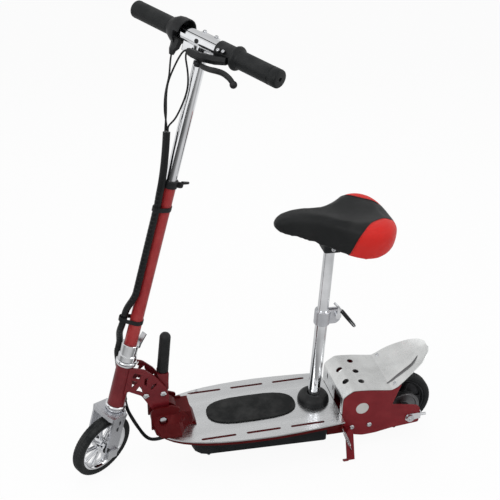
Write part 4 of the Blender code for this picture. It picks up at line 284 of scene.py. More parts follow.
class Effects:
    """The node groups that the finishes share."""

    def __init__(self) -> None:
        """Makes the four groups."""
        self.grain = self._grain()
        self.wear = self._wear()
        self.dust = self._dust()
        self.cells = self._cells()

    def _grain(self) -> bpy.types.NodeTree:
        """Fine grain, broad mottling and long scratches from Object coordinates.

        Returns:
            The node group.
        """
        weave, source, sink = new_group("surface_grain", {"Vector": (VECTOR, None), "Scale": (FLOAT, 800.0)},
                                        ("Fine", "Broad", "Scratch"))
        vector = source["Vector"]
        fine = weave.add(NOISE, {"Vector": vector, "Scale": source["Scale"], "Detail": 4.0})
        broad = weave.add(NOISE, {"Vector": vector, "Scale": 22.0, "Detail": 5.0, "Roughness": 0.6})
        slide = weave.add(MAPPING, {"Vector": vector, "Rotation": (0.5, 0.4, 0.7), "Scale": (1.0, 26.0, 5.0)})
        lines = weave.add(NOISE, {"Vector": slide.outputs[0], "Scale": 46.0, "Detail": 2.0})
        scratch = weave.span(lines.outputs[0], 0.0, 1.0, 0.66, 0.74)
        return weave.send(sink, {"Fine": fine.outputs[0], "Broad": broad.outputs[0], "Scratch": scratch})

    def _wear(self) -> bpy.types.NodeTree:
        """A mask of rubbed edges: convex places, broken up by the mottling.

        Returns:
            The node group.
        """
        weave, source, sink = new_group("edge_wear", {"Broad": (FLOAT, 0.5)}, ("Mask",))
        shape = weave.add("ShaderNodeNewGeometry")
        ridge = weave.span(shape.outputs["Pointiness"], 0.0, 1.0, 0.515, 0.60)
        patch = weave.span(source["Broad"], 0.15, 1.0, 0.38, 0.62)
        return weave.send(sink, {"Mask": weave.math("MULTIPLY", ridge, patch)})

    def _dust(self) -> bpy.types.NodeTree:
        """A mask of dust: faces that look up, in soft patches.

        Returns:
            The node group.
        """
        weave, source, sink = new_group("dust_film", {"Broad": (FLOAT, 0.5)}, ("Mask",))
        shape = weave.add("ShaderNodeNewGeometry")
        parts = weave.add("ShaderNodeSeparateXYZ", {0: shape.outputs["Normal"]})
        upward = weave.span(parts.outputs[2], 0.25, 1.0, 0.1, 0.95)
        patch = weave.span(source["Broad"], 0.0, 1.0, 0.40, 0.68)
        return weave.send(sink, {"Mask": weave.math("MULTIPLY", upward, patch)})

    def _cells(self) -> bpy.types.NodeTree:
        """Leather grain: two sizes of pebbled cell and the creases between them; Tone is low in the creases and
        darkens them as painted shade.

        Returns:
            The node group.
        """
        weave, source, sink = new_group("leather_cells", {"Vector": (VECTOR, None), "Scale": (FLOAT, 620.0)},
                                        ("Height", "Tone"))
        vector, scale = source["Vector"], source["Scale"]
        edge = "DISTANCE_TO_EDGE"
        large = weave.add(CELLS, {"Vector": vector, "Scale": scale}, feature=edge)
        small = weave.add(CELLS, {"Vector": vector, "Scale": weave.math("MULTIPLY", scale, 2.3)}, feature=edge)
        first = weave.span(large.outputs[0], 0.0, 1.0, 0.0, 0.22)
        second = weave.span(small.outputs[0], 0.0, 0.4, 0.0, 0.20)
        return weave.send(sink, {"Height": weave.math("ADD", first, second), "Tone": first})


class Painter:
    """Makes each finish once and hands out its material."""

    def __init__(self) -> None:
        """Starts with the shared effects and no material."""
        self.effects = Effects()
        self.made: dict[str, bpy.types.Material] = {}

    def material(self, finish: Finish) -> bpy.types.Material:
        """Finds or makes the material of a finish.

        Args:
            finish: what the surface is made of.

        Returns:
            The material, the same one each time.
        """
        if finish.name not in self.made:
            self.made[finish.name] = self._make(finish)
        return self.made[finish.name]

    def _make(self, finish: Finish) -> bpy.types.Material:
        """Lays out colour, gloss and bump for one finish.

        Args:
            finish: what the surface is made of.

        Returns:
            The new material.
        """
        material = bpy.data.materials.new(finish.name)
        material.use_nodes = True
        weave = Weave(material.node_tree)
        shader = material.node_tree.nodes["Principled BSDF"]
        metal = finish.kind is Kind.METAL
        for label, value in (("Metallic", float(metal)), ("Coat Weight", finish.coat),
                             ("Specular IOR Level", METAL_SPECULAR if metal else finish.specular),
                             ("Coat Roughness", COAT_ROUGHNESS)):
            shader.inputs[label].default_value = value
        place = weave.add("ShaderNodeTexCoord").outputs["Object"]
        stretched = weave.add(MAPPING, {"Vector": place, "Scale": finish.stretch}).outputs[0]
        grain = weave.group(self.effects.grain, Vector=stretched, Scale=finish.grain)
        wear = weave.group(self.effects.wear, Broad=grain["Broad"])["Mask"]
        dust = weave.group(self.effects.dust, Broad=grain["Broad"])["Mask"]

        colour = np.array(finish.colour)
        low, high = (*colour * DARKER, 1.0), (*np.minimum(colour * LIGHTER, 1.0), 1.0)
        base = weave.blend(weave.span(grain["Broad"], 0.0, 1.0, 0.3, 0.7), low, high)
        height = grain["Fine"]
        if finish.kind is Kind.LEATHER:
            base, height = self._leather(weave, place, finish, base)
        if finish.wear_share:
            base = weave.blend(weave.span(wear, 0.0, finish.wear_share), base, (*finish.wear, 1.0))
        base = weave.blend(weave.span(dust, 0.0, finish.dust_share), base, DUST)

        rough, spread = finish.rough, finish.spread
        gloss = weave.span(grain["Fine"], rough - spread, rough + spread, 0.25, 0.75)
        scratched = weave.span(grain["Scratch"], 0.0, spread * SCRATCH_GLOSS)
        dusty = weave.span(dust, 0.0, finish.dust_share * DUST_GLOSS)
        matt = weave.math("ADD", weave.math("ADD", gloss, scratched), dusty, clamp=True)
        bump = weave.add("ShaderNodeBump", {"Height": height, "Distance": finish.depth, "Strength": 1.0})
        weave.send(shader, {"Base Color": base, "Roughness": matt, "Normal": bump.outputs[0]})
        return material

    def _leather(self, weave: Weave, place: Socket, finish: Finish, base: Socket) -> tuple[Socket, Socket]:
        """Adds pebbled cells, whose creases are darkened in the red and the black as painted shade, and the red
        panel that a signed distance attribute marks out.

        Args:
            weave: the material's weave.
            place: the Object coordinates.
            finish: the cover's finish, whose grain is the size of the cells.
            base: colour of the black part.

        Returns:
            The colour and the height.
        """
        cells = weave.group(self.effects.cells, Vector=place, Scale=finish.grain)
        panel = weave.add("ShaderNodeAttribute", attribute_name="panel_edge").outputs["Fac"]
        # Painted shade in the creases: darker red and darker black where Tone is low.
        red = weave.blend(cells["Tone"], PANEL_LOW, PANEL_HIGH)
        dark = weave.blend(weave.span(cells["Tone"], 0.0, 0.8), CREASE_SHADE, base)
        inside = weave.span(panel, 0.0, 1.0, -PANEL_BLUR, PANEL_BLUR)
        return weave.blend(inside, dark, red), cells["Height"]


# ---------------------------------------------------------------- shapes


@dataclass
class Shell:
    """A closed surface: its points and its faces."""

    points: np.ndarray
    faces: list[tuple[int, ...]]

    def moved(self, matrix: Matrix) -> "Shell":
        """The shell carried by a matrix."""
        return Shell(carried(self.points, matrix), self.faces)


def carried(points: np.ndarray, matrix: Matrix) -> np.ndarray:
    """Points carried by a matrix: turned by its first three columns, then shifted by its last."""
    turn = np.array(matrix)
    return points @ turn[:3, :3].T + turn[:3, 3]


def circle(steps: int) -> np.ndarray:
    """Angles evenly spaced round a circle."""
    return np.linspace(0, 2 * np.pi, steps, endpoint=False)


def units(ways: np.ndarray) -> np.ndarray:
    """Each row divided by its own length."""
    return ways / np.linalg.norm(ways, axis=1)[:, None]


def distance_along(path: np.ndarray) -> np.ndarray:
    """The running sum of the steps between a line's points, from zero."""
    return np.concatenate([[0.0], np.cumsum(np.linalg.norm(np.diff(path, axis=0), axis=1))])


def ripple(along: np.ndarray, pitch: float) -> np.ndarray:
    """A cosine between 0 and 1, which is 1 at the first place and again every pitch."""
    return 0.5 + 0.5 * np.cos(2 * np.pi * (along - along[0]) / pitch)


def smoothed(path: np.ndarray, reach: int) -> np.ndarray:
    """Each point of a line replaced by the mean of it and its neighbours.

    Args:
        path: the line, one row a point.
        reach: how many neighbours count on each side.

    Returns:
        The smoothed line, of as many points.
    """
    kernel = np.ones(2 * reach + 1) / (2 * reach + 1)
    ends = np.pad(path, ((reach, reach), (0, 0)), mode="edge")
    return np.stack([np.convolve(column, kernel, "valid") for column in ends.T], -1)


def grid_faces(rows: int, columns: int, wrap_rows: bool, wrap_columns: bool) -> np.ndarray:
    """Quads of a grid of points.

    Args:
        rows: number of rows.
        columns: points in each row.
        wrap_rows: True where the last row joins the first.
        wrap_columns: True where each row closes on itself.

    Returns:
        Four point numbers for each quad.
    """
    i = np.arange(rows if wrap_rows else rows - 1)
    j = np.arange(columns if wrap_columns else columns - 1)
    a, b = np.meshgrid(i, j, indexing="ij")
    c, d = (a + 1) % rows, (b + 1) % columns
    return np.stack([a * columns + b, a * columns + d, c * columns + d, c * columns + b], -1).reshape(-1, 4)


def closed(points: np.ndarray, ring: bool = False) -> Shell:
    """Closes rows of points, each row a loop, into a shell.

    Args:
        points: rows by columns by three.
        ring: True joins the last row to the first; otherwise each end gets a face.

    Returns:
        The closed shell.
    """
    rows, columns = points.shape[:2]
    faces = [tuple(f) for f in grid_faces(rows, columns, ring, True).tolist()]
    if not ring:
        last = (rows - 1) * columns
        faces += [tuple(range(columns)), tuple(range(last, last + columns))]
    return Shell(points.reshape(-1, 3), faces)


def revolve(profile: Sequence[Pair], steps: int = 64, ring: bool = False) -> Shell:
    """Turns a profile about Z: each (radius, height) becomes a circle of that radius at that height.

    Args:
        profile: radius and height of each corner; a solid one starts and ends on the axis.
        steps: points round each circle.
        ring: True for a hollow ring, whose profile closes on itself.

    Returns:
        The closed shell.
    """
    rows, turn = np.array(profile, float), circle(steps)
    radius = np.maximum(rows[:, :1], 1e-7)
    height = np.repeat(rows[:, 1:], steps, 1)
    return closed(np.stack([radius * np.cos(turn), radius * np.sin(turn), height], -1), ring)


def barrel(inner: float, outer: float, low: float, high: float, corner: float, steps: int) -> Shell:
    """A turned collar or rod whose outer corners are cut off.

    Args:
        inner: radius of its bore, or 0 for a solid rod.
        outer: its radius.
        low: height of one end.
        high: height of the other end.
        corner: how far each corner is cut back.
        steps: points round it.

    Returns:
        The closed shell.
    """
    profile = [(inner, low), (outer - corner, low), (outer, low + corner), (outer, high - corner),
               (outer - corner, high), (inner, high)]
    return revolve(profile, steps, inner > 0)


def catmull(knots: np.ndarray, count: int) -> np.ndarray:
    """Catmull-Rom curve: between each two knots, the cubic through them whose slope at each is half the
    step between its neighbours.

    Args:
        knots: the knots, with one guide before the first and one after the last.
        count: points on each stretch.

    Returns:
        The points of all stretches, without the last knot.
    """
    t = np.linspace(0, 1, count, endpoint=False)[:, None]
    return np.vstack([
        0.5 * (2 * b + (c - a) * t + (2 * a - 5 * b + 4 * c - d) * t ** 2 + (d + 3 * (b - c) - a) * t ** 3)
        for a, b, c, d in zip(knots, knots[1:], knots[2:], knots[3:])])


def spline(knots: Sequence[Sequence[float]], count: int) -> np.ndarray:
    """Evenly spaced points on the Catmull-Rom curve through the knots.

    Args:
        knots: points that the curve passes through.
        count: number of points.

    Returns:
        The points, one row each.
    """
    k = np.array(knots, float)
    k = np.vstack([2 * k[:1] - k[1:2], k, 2 * k[-1:] - k[-2:-1]])
    fine = np.vstack([catmull(k, 24), k[-2:-1]])
    run = distance_along(fine)
    even = np.linspace(0, run[-1], count)
    return np.stack([np.interp(even, run, fine[:, i]) for i in range(fine.shape[1])], -1)


def sweep(path: np.ndarray, radius: float | Sequence[float] | np.ndarray, steps: int = 12) -> Shell:
    """Carries a circle along a path, turning it no more than the path bends.

    Args:
        path: the centre line, one row a point.
        radius: one radius, or one for each point of the path.
        steps: points round the circle.

    Returns:
        The closed tube.
    """
    along = units(np.gradient(path, axis=0))
    side = np.cross(along[0], [0.31, 0.2, 0.93])
    sides = []
    for t in along:
        side = side - t * np.dot(side, t)
        side = side / np.linalg.norm(side)
        sides.append(side)
    sides = np.array(sides)
    other = np.cross(along, sides)
    turn = circle(steps)
    size = np.broadcast_to(np.asarray(radius, float), (len(path),))[:, None, None]
    return closed(path[:, None] + size * (np.cos(turn)[None, :, None] * sides[:, None]
                                          + np.sin(turn)[None, :, None] * other[:, None]))


def block(low: Sequence[float], high: Sequence[float], corner: float = 0.0008, steps: int = 3) -> Shell:
    """A rounded block: an outline in X and Y with rounded corners, its top and bottom drawn in.

    Args:
        low: its lowest corner.
        high: its highest corner.
        corner: radius of its edges.
        steps: points round each corner.

    Returns:
        The closed shell.
    """
    low, high = np.array(low, float), np.array(high, float)
    middle, half = (low + high) / 2, (high - low) / 2 - corner
    turn = np.linspace(0, np.pi / 2, steps)
    quarter = np.stack([np.cos(turn), np.sin(turn)], -1)
    signs = np.array([(1, 1), (-1, 1), (-1, -1), (1, -1)])
    base = np.vstack([np.tile(s * half[:2], (steps, 1)) for s in signs])
    ways = np.vstack([(quarter if q % 2 == 0 else quarter[::-1]) * s for q, s in enumerate(signs)])
    rows = []
    for lift in list(-np.cos(turn)) + list(np.sin(turn)):
        reach = math.sqrt(max(0.0, 1 - lift * lift))
        z = np.full((len(base), 1), (half[2] if lift > 0 else -half[2]) + lift * corner)
        if abs(lift) < 1e-9:
            z[:] = -half[2] if len(rows) < steps else half[2]
        rows.append(np.hstack([base + ways * corner * reach, z]))
    return closed(np.array(rows) + middle)


def plate(outline: Sequence[Sequence[float]], low: float, high: float) -> Shell:
    """An outline in X and Y given a thickness along Z.

    Args:
        outline: corners of the outline, in order.
        low: height of its bottom.
        high: height of its top.

    Returns:
        The closed shell.
    """
    flat = np.array(outline, float)
    return closed(np.stack([np.hstack([flat, np.full((len(flat), 1), z)]) for z in (low, high)]))


def screw_head(radius: float, height: float, hole: float = 0.45) -> Shell:
    """A domed socket screw: a revolved button head with a recess in its crown.

    Args:
        radius: radius of the head.
        height: its rise above the face that it sits on.
        hole: share of the radius that the recess takes.

    Returns:
        The closed shell, which reaches a little below the face.
    """
    rim, sunk = hole + 0.06, -0.0008
    profile = [(0.0, height * 0.35), (radius * hole, height * 0.35), (radius * hole, height * 0.95)]
    profile += [(radius * (rim + (1 - hole - 0.06) * math.sin(a)), height * (0.25 + 0.75 * math.cos(a)))
                for a in np.linspace(0, np.pi / 2, 6)]
    return revolve(profile + [(radius, sunk), (0.0, sunk)], 20)


def toward(place: Sequence[float], direction: Sequence[float]) -> Matrix:
    """A matrix that puts Z along a direction at a place."""
    return Matrix.Translation(place) @ Vector(direction).to_track_quat("Z", "X").to_matrix().to_4x4()


def span_of(node: str, matrix: Matrix) -> tuple[np.ndarray, np.ndarray]:
    """Measures a CAD node along a matrix's own axes.

    Args:
        node: the CAD node.
        matrix: the axes.

    Returns:
        Its lowest and its highest corner.
    """
    points = carried(np.array([v.co for v in frame["nodes"][node].data.vertices]), matrix.inverted())
    return points.min(0), points.max(0)


def linked(name: str, data: bpy.types.ID) -> bpy.types.Object:
    """Puts a mesh, lamp or camera into the scene as an object.

    Args:
        name: the object's name.
        data: its mesh, lamp or camera.

    Returns:
        The object.
    """
    made = bpy.data.objects.new(name, data)
    bpy.context.scene.collection.objects.link(made)
    return made


def mesh_object(name: str, points: np.ndarray, faces: Iterable[Sequence[int]]) -> bpy.types.Object:
    """Makes a mesh of points and faces and puts it into the scene.

    Args:
        name: name of the mesh and of its object.
        points: one row a point.
        faces: point numbers of each face.

    Returns:
        The object.
    """
    mesh = bpy.data.meshes.new(name)
    mesh.from_pydata(points.tolist(), [], faces)
    return linked(name, mesh)


def bake(piece: bpy.types.Object) -> None:
    """Applies a piece's modifiers to its own mesh.

    Args:
        piece: the piece, which is left without modifiers.
    """
    bpy.context.view_layer.update()
    mesh = bpy.data.meshes.new_from_object(piece.evaluated_get(bpy.context.evaluated_depsgraph_get()))
    piece.modifiers.clear()
    piece.data = mesh


def coords(mesh: bpy.types.Mesh, what: str = "co") -> np.ndarray:
    """Reads a mesh's points, or another vector of each, as an array.

    Args:
        mesh: the mesh.
        what: the vector to read.

    Returns:
        One row a point.
    """
    flat = np.empty(len(mesh.vertices) * 3, np.float32)
    mesh.vertices.foreach_get(what, flat)
    return flat.reshape(-1, 3).astype(float)


WELD, CAD_WELD = 2e-6, 1e-5
FLAT, CREASED = math.radians(0.8), math.radians(50)
JOIN_FACE, JOIN_SHAPE = math.radians(40), math.radians(70)


class Workshop:
    """Turns shells and CAD copies into finished pieces that ride on their bodies."""

    def __init__(self) -> None:
        """Starts with a painter and the CAD's nodes."""
        self.painter = Painter()
        self.nodes: dict[str, bpy.types.Object] = frame["nodes"]

    def body_of(self, node: str) -> str:
        """The body that a CAD node rides on."""
        return self.nodes[node].parent.name.split(":", 1)[1]

    def dress(self, piece: bpy.types.Object, finish: Finish, body: str, replaces: Sequence[str] = (),
              slot: str | None = None, bend: Bend | None = None) -> bpy.types.Object:
        """Gives a piece its finish and, unless it has a bend, its body, and hides the CAD nodes that it
        replaces.

        Args:
            piece: the piece, already in the row frame.
            finish: what it is made of.
            body: the CAD body that it rides on.
            replaces: CAD nodes that it stands for.
            slot: the record's slot; not used.
            bend: for a cable that crosses a joint, the second body and where the bend starts and ends; the
                piece is then set on no body and is not bent.

        Returns:
            The piece.
        """
        piece.data.materials.clear()
        piece.data.materials.append(self.painter.material(finish))
        if bend:
            tuple(bend[1])
            tuple(bend[2])
            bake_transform(piece)
        else:
            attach(piece, body)
        if replaces:
            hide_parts(*replaces)
        slot or next(iter(replaces))
        LOG.info("%s on %s in %s, %d faces", piece.name, body, finish.name, len(piece.data.polygons))
        return piece

    def place(self, name: str, shells: Iterable[Shell], finish: Finish, body: str, replaces: Sequence[str] = (),
              slot: str | None = None, angle: float = 35.0, bend: Bend | None = None,
              at: Matrix | None = None) -> bpy.types.Object:
        """Builds one piece from shells and sets it on its body.

        Args:
            name: the piece's name.
            shells: its closed shells.
            finish: what it is made of.
            body: the CAD body that it rides on.
            replaces: CAD nodes that it stands for.
            slot: passed on to dress, where it is not used.
            angle: edges sharper than this, in degrees, stay sharp.
            bend: for a cable that crosses a joint, the second body and where the bend starts and ends; the
                piece is then set on no body and is not bent.
            at: matrix that carries the shells into the row frame, unless they are there already.

        Returns:
            The piece.
        """
        points, faces, base = [], [], 0
        for shell in shells:
            points.append(shell.points if at is None else carried(shell.points, at))
            faces += [tuple(i + base for i in f) for f in shell.faces]
            base += len(shell.points)
        piece = mesh_object(name, np.vstack(points), faces)
        self.tidy(piece.data, angle)
        return self.dress(piece, finish, body, replaces, slot, bend)

    @staticmethod
    def weld(bm: bmesh.types.BMesh, gap: float) -> None:
        """Joins points closer than a gap and turns every shell outward.

        Args:
            bm: the mesh being worked on.
            gap: largest gap that is closed.
        """
        bmesh.ops.remove_doubles(bm, verts=bm.verts, dist=gap)
        bmesh.ops.dissolve_degenerate(bm, edges=bm.edges, dist=gap)
        bmesh.ops.recalc_face_normals(bm, faces=bm.faces)

    @staticmethod
    def write(bm: bmesh.types.BMesh, mesh: bpy.types.Mesh, limit: float) -> None:
        """Shades a mesh smooth but for its sharp edges and writes it out.

        Args:
            bm: the mesh being worked on, which is freed.
            mesh: the mesh that takes it.
            limit: edges sharper than this, in radians, stay sharp.
        """
        for face in bm.faces:
            face.smooth = True
        for edge in bm.edges:
            edge.smooth = len(edge.link_faces) == 2 and edge.calc_face_angle(0.0) < limit
        bm.to_mesh(mesh)
        bm.free()

    @classmethod
    def tidy(cls, mesh: bpy.types.Mesh, angle: float) -> None:
        """Welds a mesh, turns every shell outward and marks the sharp edges.

        Args:
            mesh: the mesh.
            angle: edges sharper than this, in degrees, stay sharp.
        """
        bm = bmesh.new()
        bm.from_mesh(mesh)
        cls.weld(bm, WELD)
        cls.write(bm, mesh, math.radians(angle))

    @staticmethod
    def soften(piece: bpy.types.Object, width: float, limit: float) -> None:
        """Rounds off a piece's edges with a bevel.

        Args:
            piece: the piece.
            width: width of the bevel.
            limit: edges sharper than this, in radians, are rounded.
        """
        edges = piece.modifiers.new("edges", "BEVEL")
        edges.width, edges.segments, edges.harden_normals = width, 2, True
        edges.limit_method, edges.angle_limit = "ANGLE", limit

    def keep(self, finish: Finish, bevel: float, *nodes: str) -> None:
        """Refines several CAD nodes alike."""
        for node in nodes:
            self.refined(node, finish, bevel)

    def refined(self, node: str, finish: Finish, bevel: float = 0.0005, levels: int = 0, angle: float = 32.0,
                bend: Bend | None = None) -> bpy.types.Object:
        """Copies a CAD node, welds it, and softens its edges or its curves.

        Args:
            node: the CAD node, whose shape the piece keeps.
            finish: what it is made of.
            bevel: width of the softened edges.
            levels: subdivisions for a form without flat faces, in place of the bevel.
            angle: edges sharper than this, in degrees, count as edges.
            bend: for a cable that crosses a joint, the second body and where the bend starts and ends; the
                piece is then set on no body and is not bent.

        Returns:
            The piece, which replaces the node.
        """
        bm = bmesh.new()
        bm.from_mesh(self.nodes[node].data)
        self.weld(bm, CAD_WELD)
        limit = math.radians(angle)
        if levels:
            bmesh.ops.join_triangles(bm, faces=bm.faces, angle_face_threshold=JOIN_FACE,
                                     angle_shape_threshold=JOIN_SHAPE)
            crease = bm.edges.layers.float.new("crease_edge")
            for edge in bm.edges:
                edge[crease] = float(edge.calc_face_angle(0.0) > CREASED)
        else:
            bmesh.ops.dissolve_limit(bm, angle_limit=FLAT, verts=bm.verts, edges=bm.edges)
        mesh = bpy.data.meshes.new(node + "_form")
        self.write(bm, mesh, limit)
        piece = linked(node + "_form", mesh)
        if levels:
            soft = piece.modifiers.new("soft", "SUBSURF")
            soft.levels = soft.render_levels = levels
        elif bevel:
            self.soften(piece, bevel, limit)
        return self.dress(piece, finish, self.body_of(node), [node], bend=bend)

    @classmethod
    def cut(cls, piece: bpy.types.Object, shells: Iterable[Shell]) -> None:
        """Cuts closed shells out of a piece, one after another.

        Args:
            piece: the piece, whose modifiers are applied.
            shells: what is cut away, in the row frame.
        """
        helpers = []
        for shell in shells:
            helper = mesh_object("cutter", shell.points, shell.faces)
            cls.tidy(helper.data, 30)
            helpers.append(helper)
            change = piece.modifiers.new("cut", "BOOLEAN")
            change.object, change.operation, change.solver = helper, "DIFFERENCE", "EXACT"
        bake(piece)
        for helper in helpers:
            bpy.data.objects.remove(helper)


# ---------------------------------------------------------------- sub-assemblies


@dataclass
class Wheels:
    """Both road wheels: tyres with tread, the chrome front rim and the dark rear rim with its drum."""

    shop: Workshop
    tyre_width: float = 0.024
    tyre_depth: float = 0.0145
    crown: float = 0.010
    groove: tuple[float, float, float] = (0.0026, 0.0006, 0.0008)
    tread: tuple[float, float, float] = (60, 420, 0.0008)
    rim_radius: float = 0.0552
    rim_half: float = 0.0100
    rim_curve: tuple[Pair, ...] = ((0.0088, 0.0020), (0.0080, 0.0040), (0.0046, 0.0060))
    hub_radius: float = 0.013
    bore: float = 0.0046
    hub_curve: tuple[Pair, ...] = ((-0.0010, 0.016), (0.0, 0.0150), (0.0, 0.0085), (0.0030, 0.0068))
    seal: tuple[Pair, ...] = ((0.0046, 0.0128), (0.0105, 0.0128), (0.0105, 0.0163), (0.0098, 0.0167),
                              (0.0046, 0.0167))
    # Painted shade: reach and half thickness of a black disc across the rear spokes, standing for the dark
    # inside of the wheel.
    shade_disc: Pair = (0.0490, 0.0012)
    front_spokes: int = 10
    front_spoke: tuple[Point, ...] = (
        (0.012, 0.0034, 0.0058), (0.020, 0.0026, 0.0046), (0.034, 0.0024, 0.0042), (0.043, 0.0030, 0.0048),
        (0.0485, 0.0044, 0.0056))
    rear_spokes: int = 5
    rear_spoke: tuple[Point, ...] = (
        (0.012, 0.0075, 0.0090), (0.022, 0.0060, 0.0070), (0.036, 0.0052, 0.0060), (0.044, 0.0062, 0.0062),
        (0.0485, 0.0090, 0.0066))
    drum_radius: float = 0.034
    drum: Pair = (-0.030, -0.016)
    steps: int = 96

    def build(self) -> None:
        """Builds both wheels and finishes their axles."""
        for label, matrix in (("front", FRONT), ("rear", REAR)):
            self.tyre(label, matrix @ CROSSWISE)
        self.front()
        self.rear()
        self.shop.keep(STEEL, 0.0004, "front_axle", "rear_axle")
        self.shop.keep(CHAIN, 0.0003, "rear_sprocket")

    def tyre(self, label: str, matrix: Matrix) -> None:
        """A tyre: its section is a flat crown between two round shoulders, and each point's radius is
        lowered by two grooves round the crown and by slanting cuts in the shoulders.

        Args:
            label: front or rear.
            matrix: the wheel's middle, with Z along its axle.
        """
        half, flat = self.tyre_width / 2, self.crown / 2
        corner = half - flat
        inner, side = WHEEL_RADIUS - self.tyre_depth, WHEEL_RADIUS - corner
        a = np.linspace(np.pi / 2, 0, 13)
        shoulder = np.stack([side + corner * np.cos(a), flat + corner * np.sin(a)], -1)
        across = np.linspace(flat, -flat, 17)[1:-1]
        crown = np.stack([np.full_like(across, WHEEL_RADIUS), across], -1)
        top = np.vstack([[(inner, half * 0.74), (inner + 0.002, half - 0.0006)], shoulder])
        section = np.vstack([top, crown, top[::-1] * [1, -1]])
        turn = circle(360)[:, None]
        radius, height = section[None, :, 0], section[None, :, 1]
        aside = np.abs(height)
        (groove, wide, deep), (cuts, slope, cut_deep) = self.groove, self.tread
        line = np.exp(-(((aside - groove) / wide) ** 2)) * deep
        slant = np.clip(np.sin(cuts * turn + slope * aside) * 3 - 1.8, 0, 1)
        shoulder_only = np.clip((aside - 0.0042) / 0.0008, 0, 1) * np.clip((radius - 0.0625) / 0.002, 0, 1)
        cut = slant * shoulder_only * cut_deep
        r = radius - line * (radius > 0.069) - cut
        points = np.stack([r * np.cos(turn), r * np.sin(turn), np.broadcast_to(height, r.shape)], -1)
        self.shop.place(label + "_tyre_form", [closed(points, True)], RUBBER, label + "_wheel",
                        [label + "_tyre"], angle=50, at=matrix)

    def spokes(self, count: int, stations: Sequence[Point], steps: int = 16) -> list[Shell]:
        """Bars along X at even turns round the hub: each section is an oval squared off by raising its sine
        and its cosine to a power under one.

        Args:
            count: number of spokes.
            stations: distance from the axle, half width and half height of each section.
            steps: points round a section.

        Returns:
            The spokes.
        """
        turn = circle(steps)
        c, s = (np.sign(v) * np.abs(v) ** 0.7 for v in (np.cos(turn), np.sin(turn)))
        x, wide, high = (np.array(v)[:, None] for v in zip(*stations))
        spar = closed(np.stack([np.broadcast_to(x, (len(x), steps)), wide * c, high * s], -1))
        return [spar.moved(Matrix.Rotation(2 * math.pi * i / count, 4, "Z")) for i in range(count)]

    def rim(self) -> Shell:
        """A rim ring with rolled lips and a raised well.

        Returns:
            The ring, about Z.
        """
        r, h = self.rim_radius, self.rim_half
        half = [*((r - a, b) for a, b in self.rim_curve), (r - 0.0030, h - 0.0006), (r - 0.0012, h + 0.0004)]
        return revolve([(r, h), (r, -h), *((a, -b) for a, b in reversed(half)), *half], 144, True)

    def front(self) -> None:
        """The front wheel's chrome rim, slim spokes and flanged barrel."""
        low = [(self.hub_radius + a, -b) for a, b in self.hub_curve]
        half = [(self.bore, -self.hub_curve[0][1]), *low]
        hub = revolve(half + [(a, -b) for a, b in reversed(half)], self.steps, True)
        arms = self.spokes(self.front_spokes, self.front_spoke)
        matrix = FRONT @ CROSSWISE
        self.shop.place("front_rim_form", [self.rim(), hub, *arms], CHROME, "front_wheel", ["front_hub"],
                        at=matrix)
        caps = [revolve(self.seal, 48, True).moved(matrix @ Matrix.Rotation(turn, 4, "X"))
                for turn in (0.0, math.pi)]
        self.shop.place("front_bearing_seals", caps, PLASTIC, "front_wheel", slot="front_hub")

    def rear(self) -> None:
        """The rear wheel's dark rim, broad spokes, barrel and brake drum, and a black disc across the spokes:
        painted shade that fills the inside of the wheel.
        """
        h, steps, matrix = self.hub_radius, self.steps, REAR @ CROSSWISE
        low, high = span_of("rear_hub", matrix)
        hub = revolve([(self.bore, low[2]), (h, low[2]), (h, self.drum[1]), (h + 0.002, self.drum[1]),
                       (h + 0.004, -0.008), (h + 0.004, 0.008), (h + 0.002, 0.016), (h + 0.002, 0.0394),
                       (h, 0.0394), (h, high[2]), (self.bore, high[2])], steps, True)
        # Painted shade: a black disc that closes the wheel between the spokes.
        reach, half = self.shade_disc
        shade_disc = revolve([(h + 0.001, -half), (reach, -half), (reach, half), (h + 0.001, half)], steps, True)
        arms = self.spokes(self.rear_spokes, self.rear_spoke)
        self.shop.place("rear_rim_form", [self.rim(), hub, shade_disc, *arms], HUB_PLASTIC, "rear_wheel",
                        ["rear_hub"], at=matrix)
        d, (start, end) = self.drum_radius, self.drum
        drum = revolve([(h - 0.001, end), (h + 0.004, end), (d * 0.7, end - 0.002), (d, end - 0.0012),
                        (d, start + 0.0006), (d - 0.0006, start), (d - 0.004, start),
                        (d - 0.006, start + 0.003), (h + 0.003, start + 0.003), (h - 0.001, start + 0.001)],
                       steps, True)
        self.shop.place("brake_drum_face", [drum], DARK_STEEL, "rear_wheel", slot="rear_hub", at=matrix)


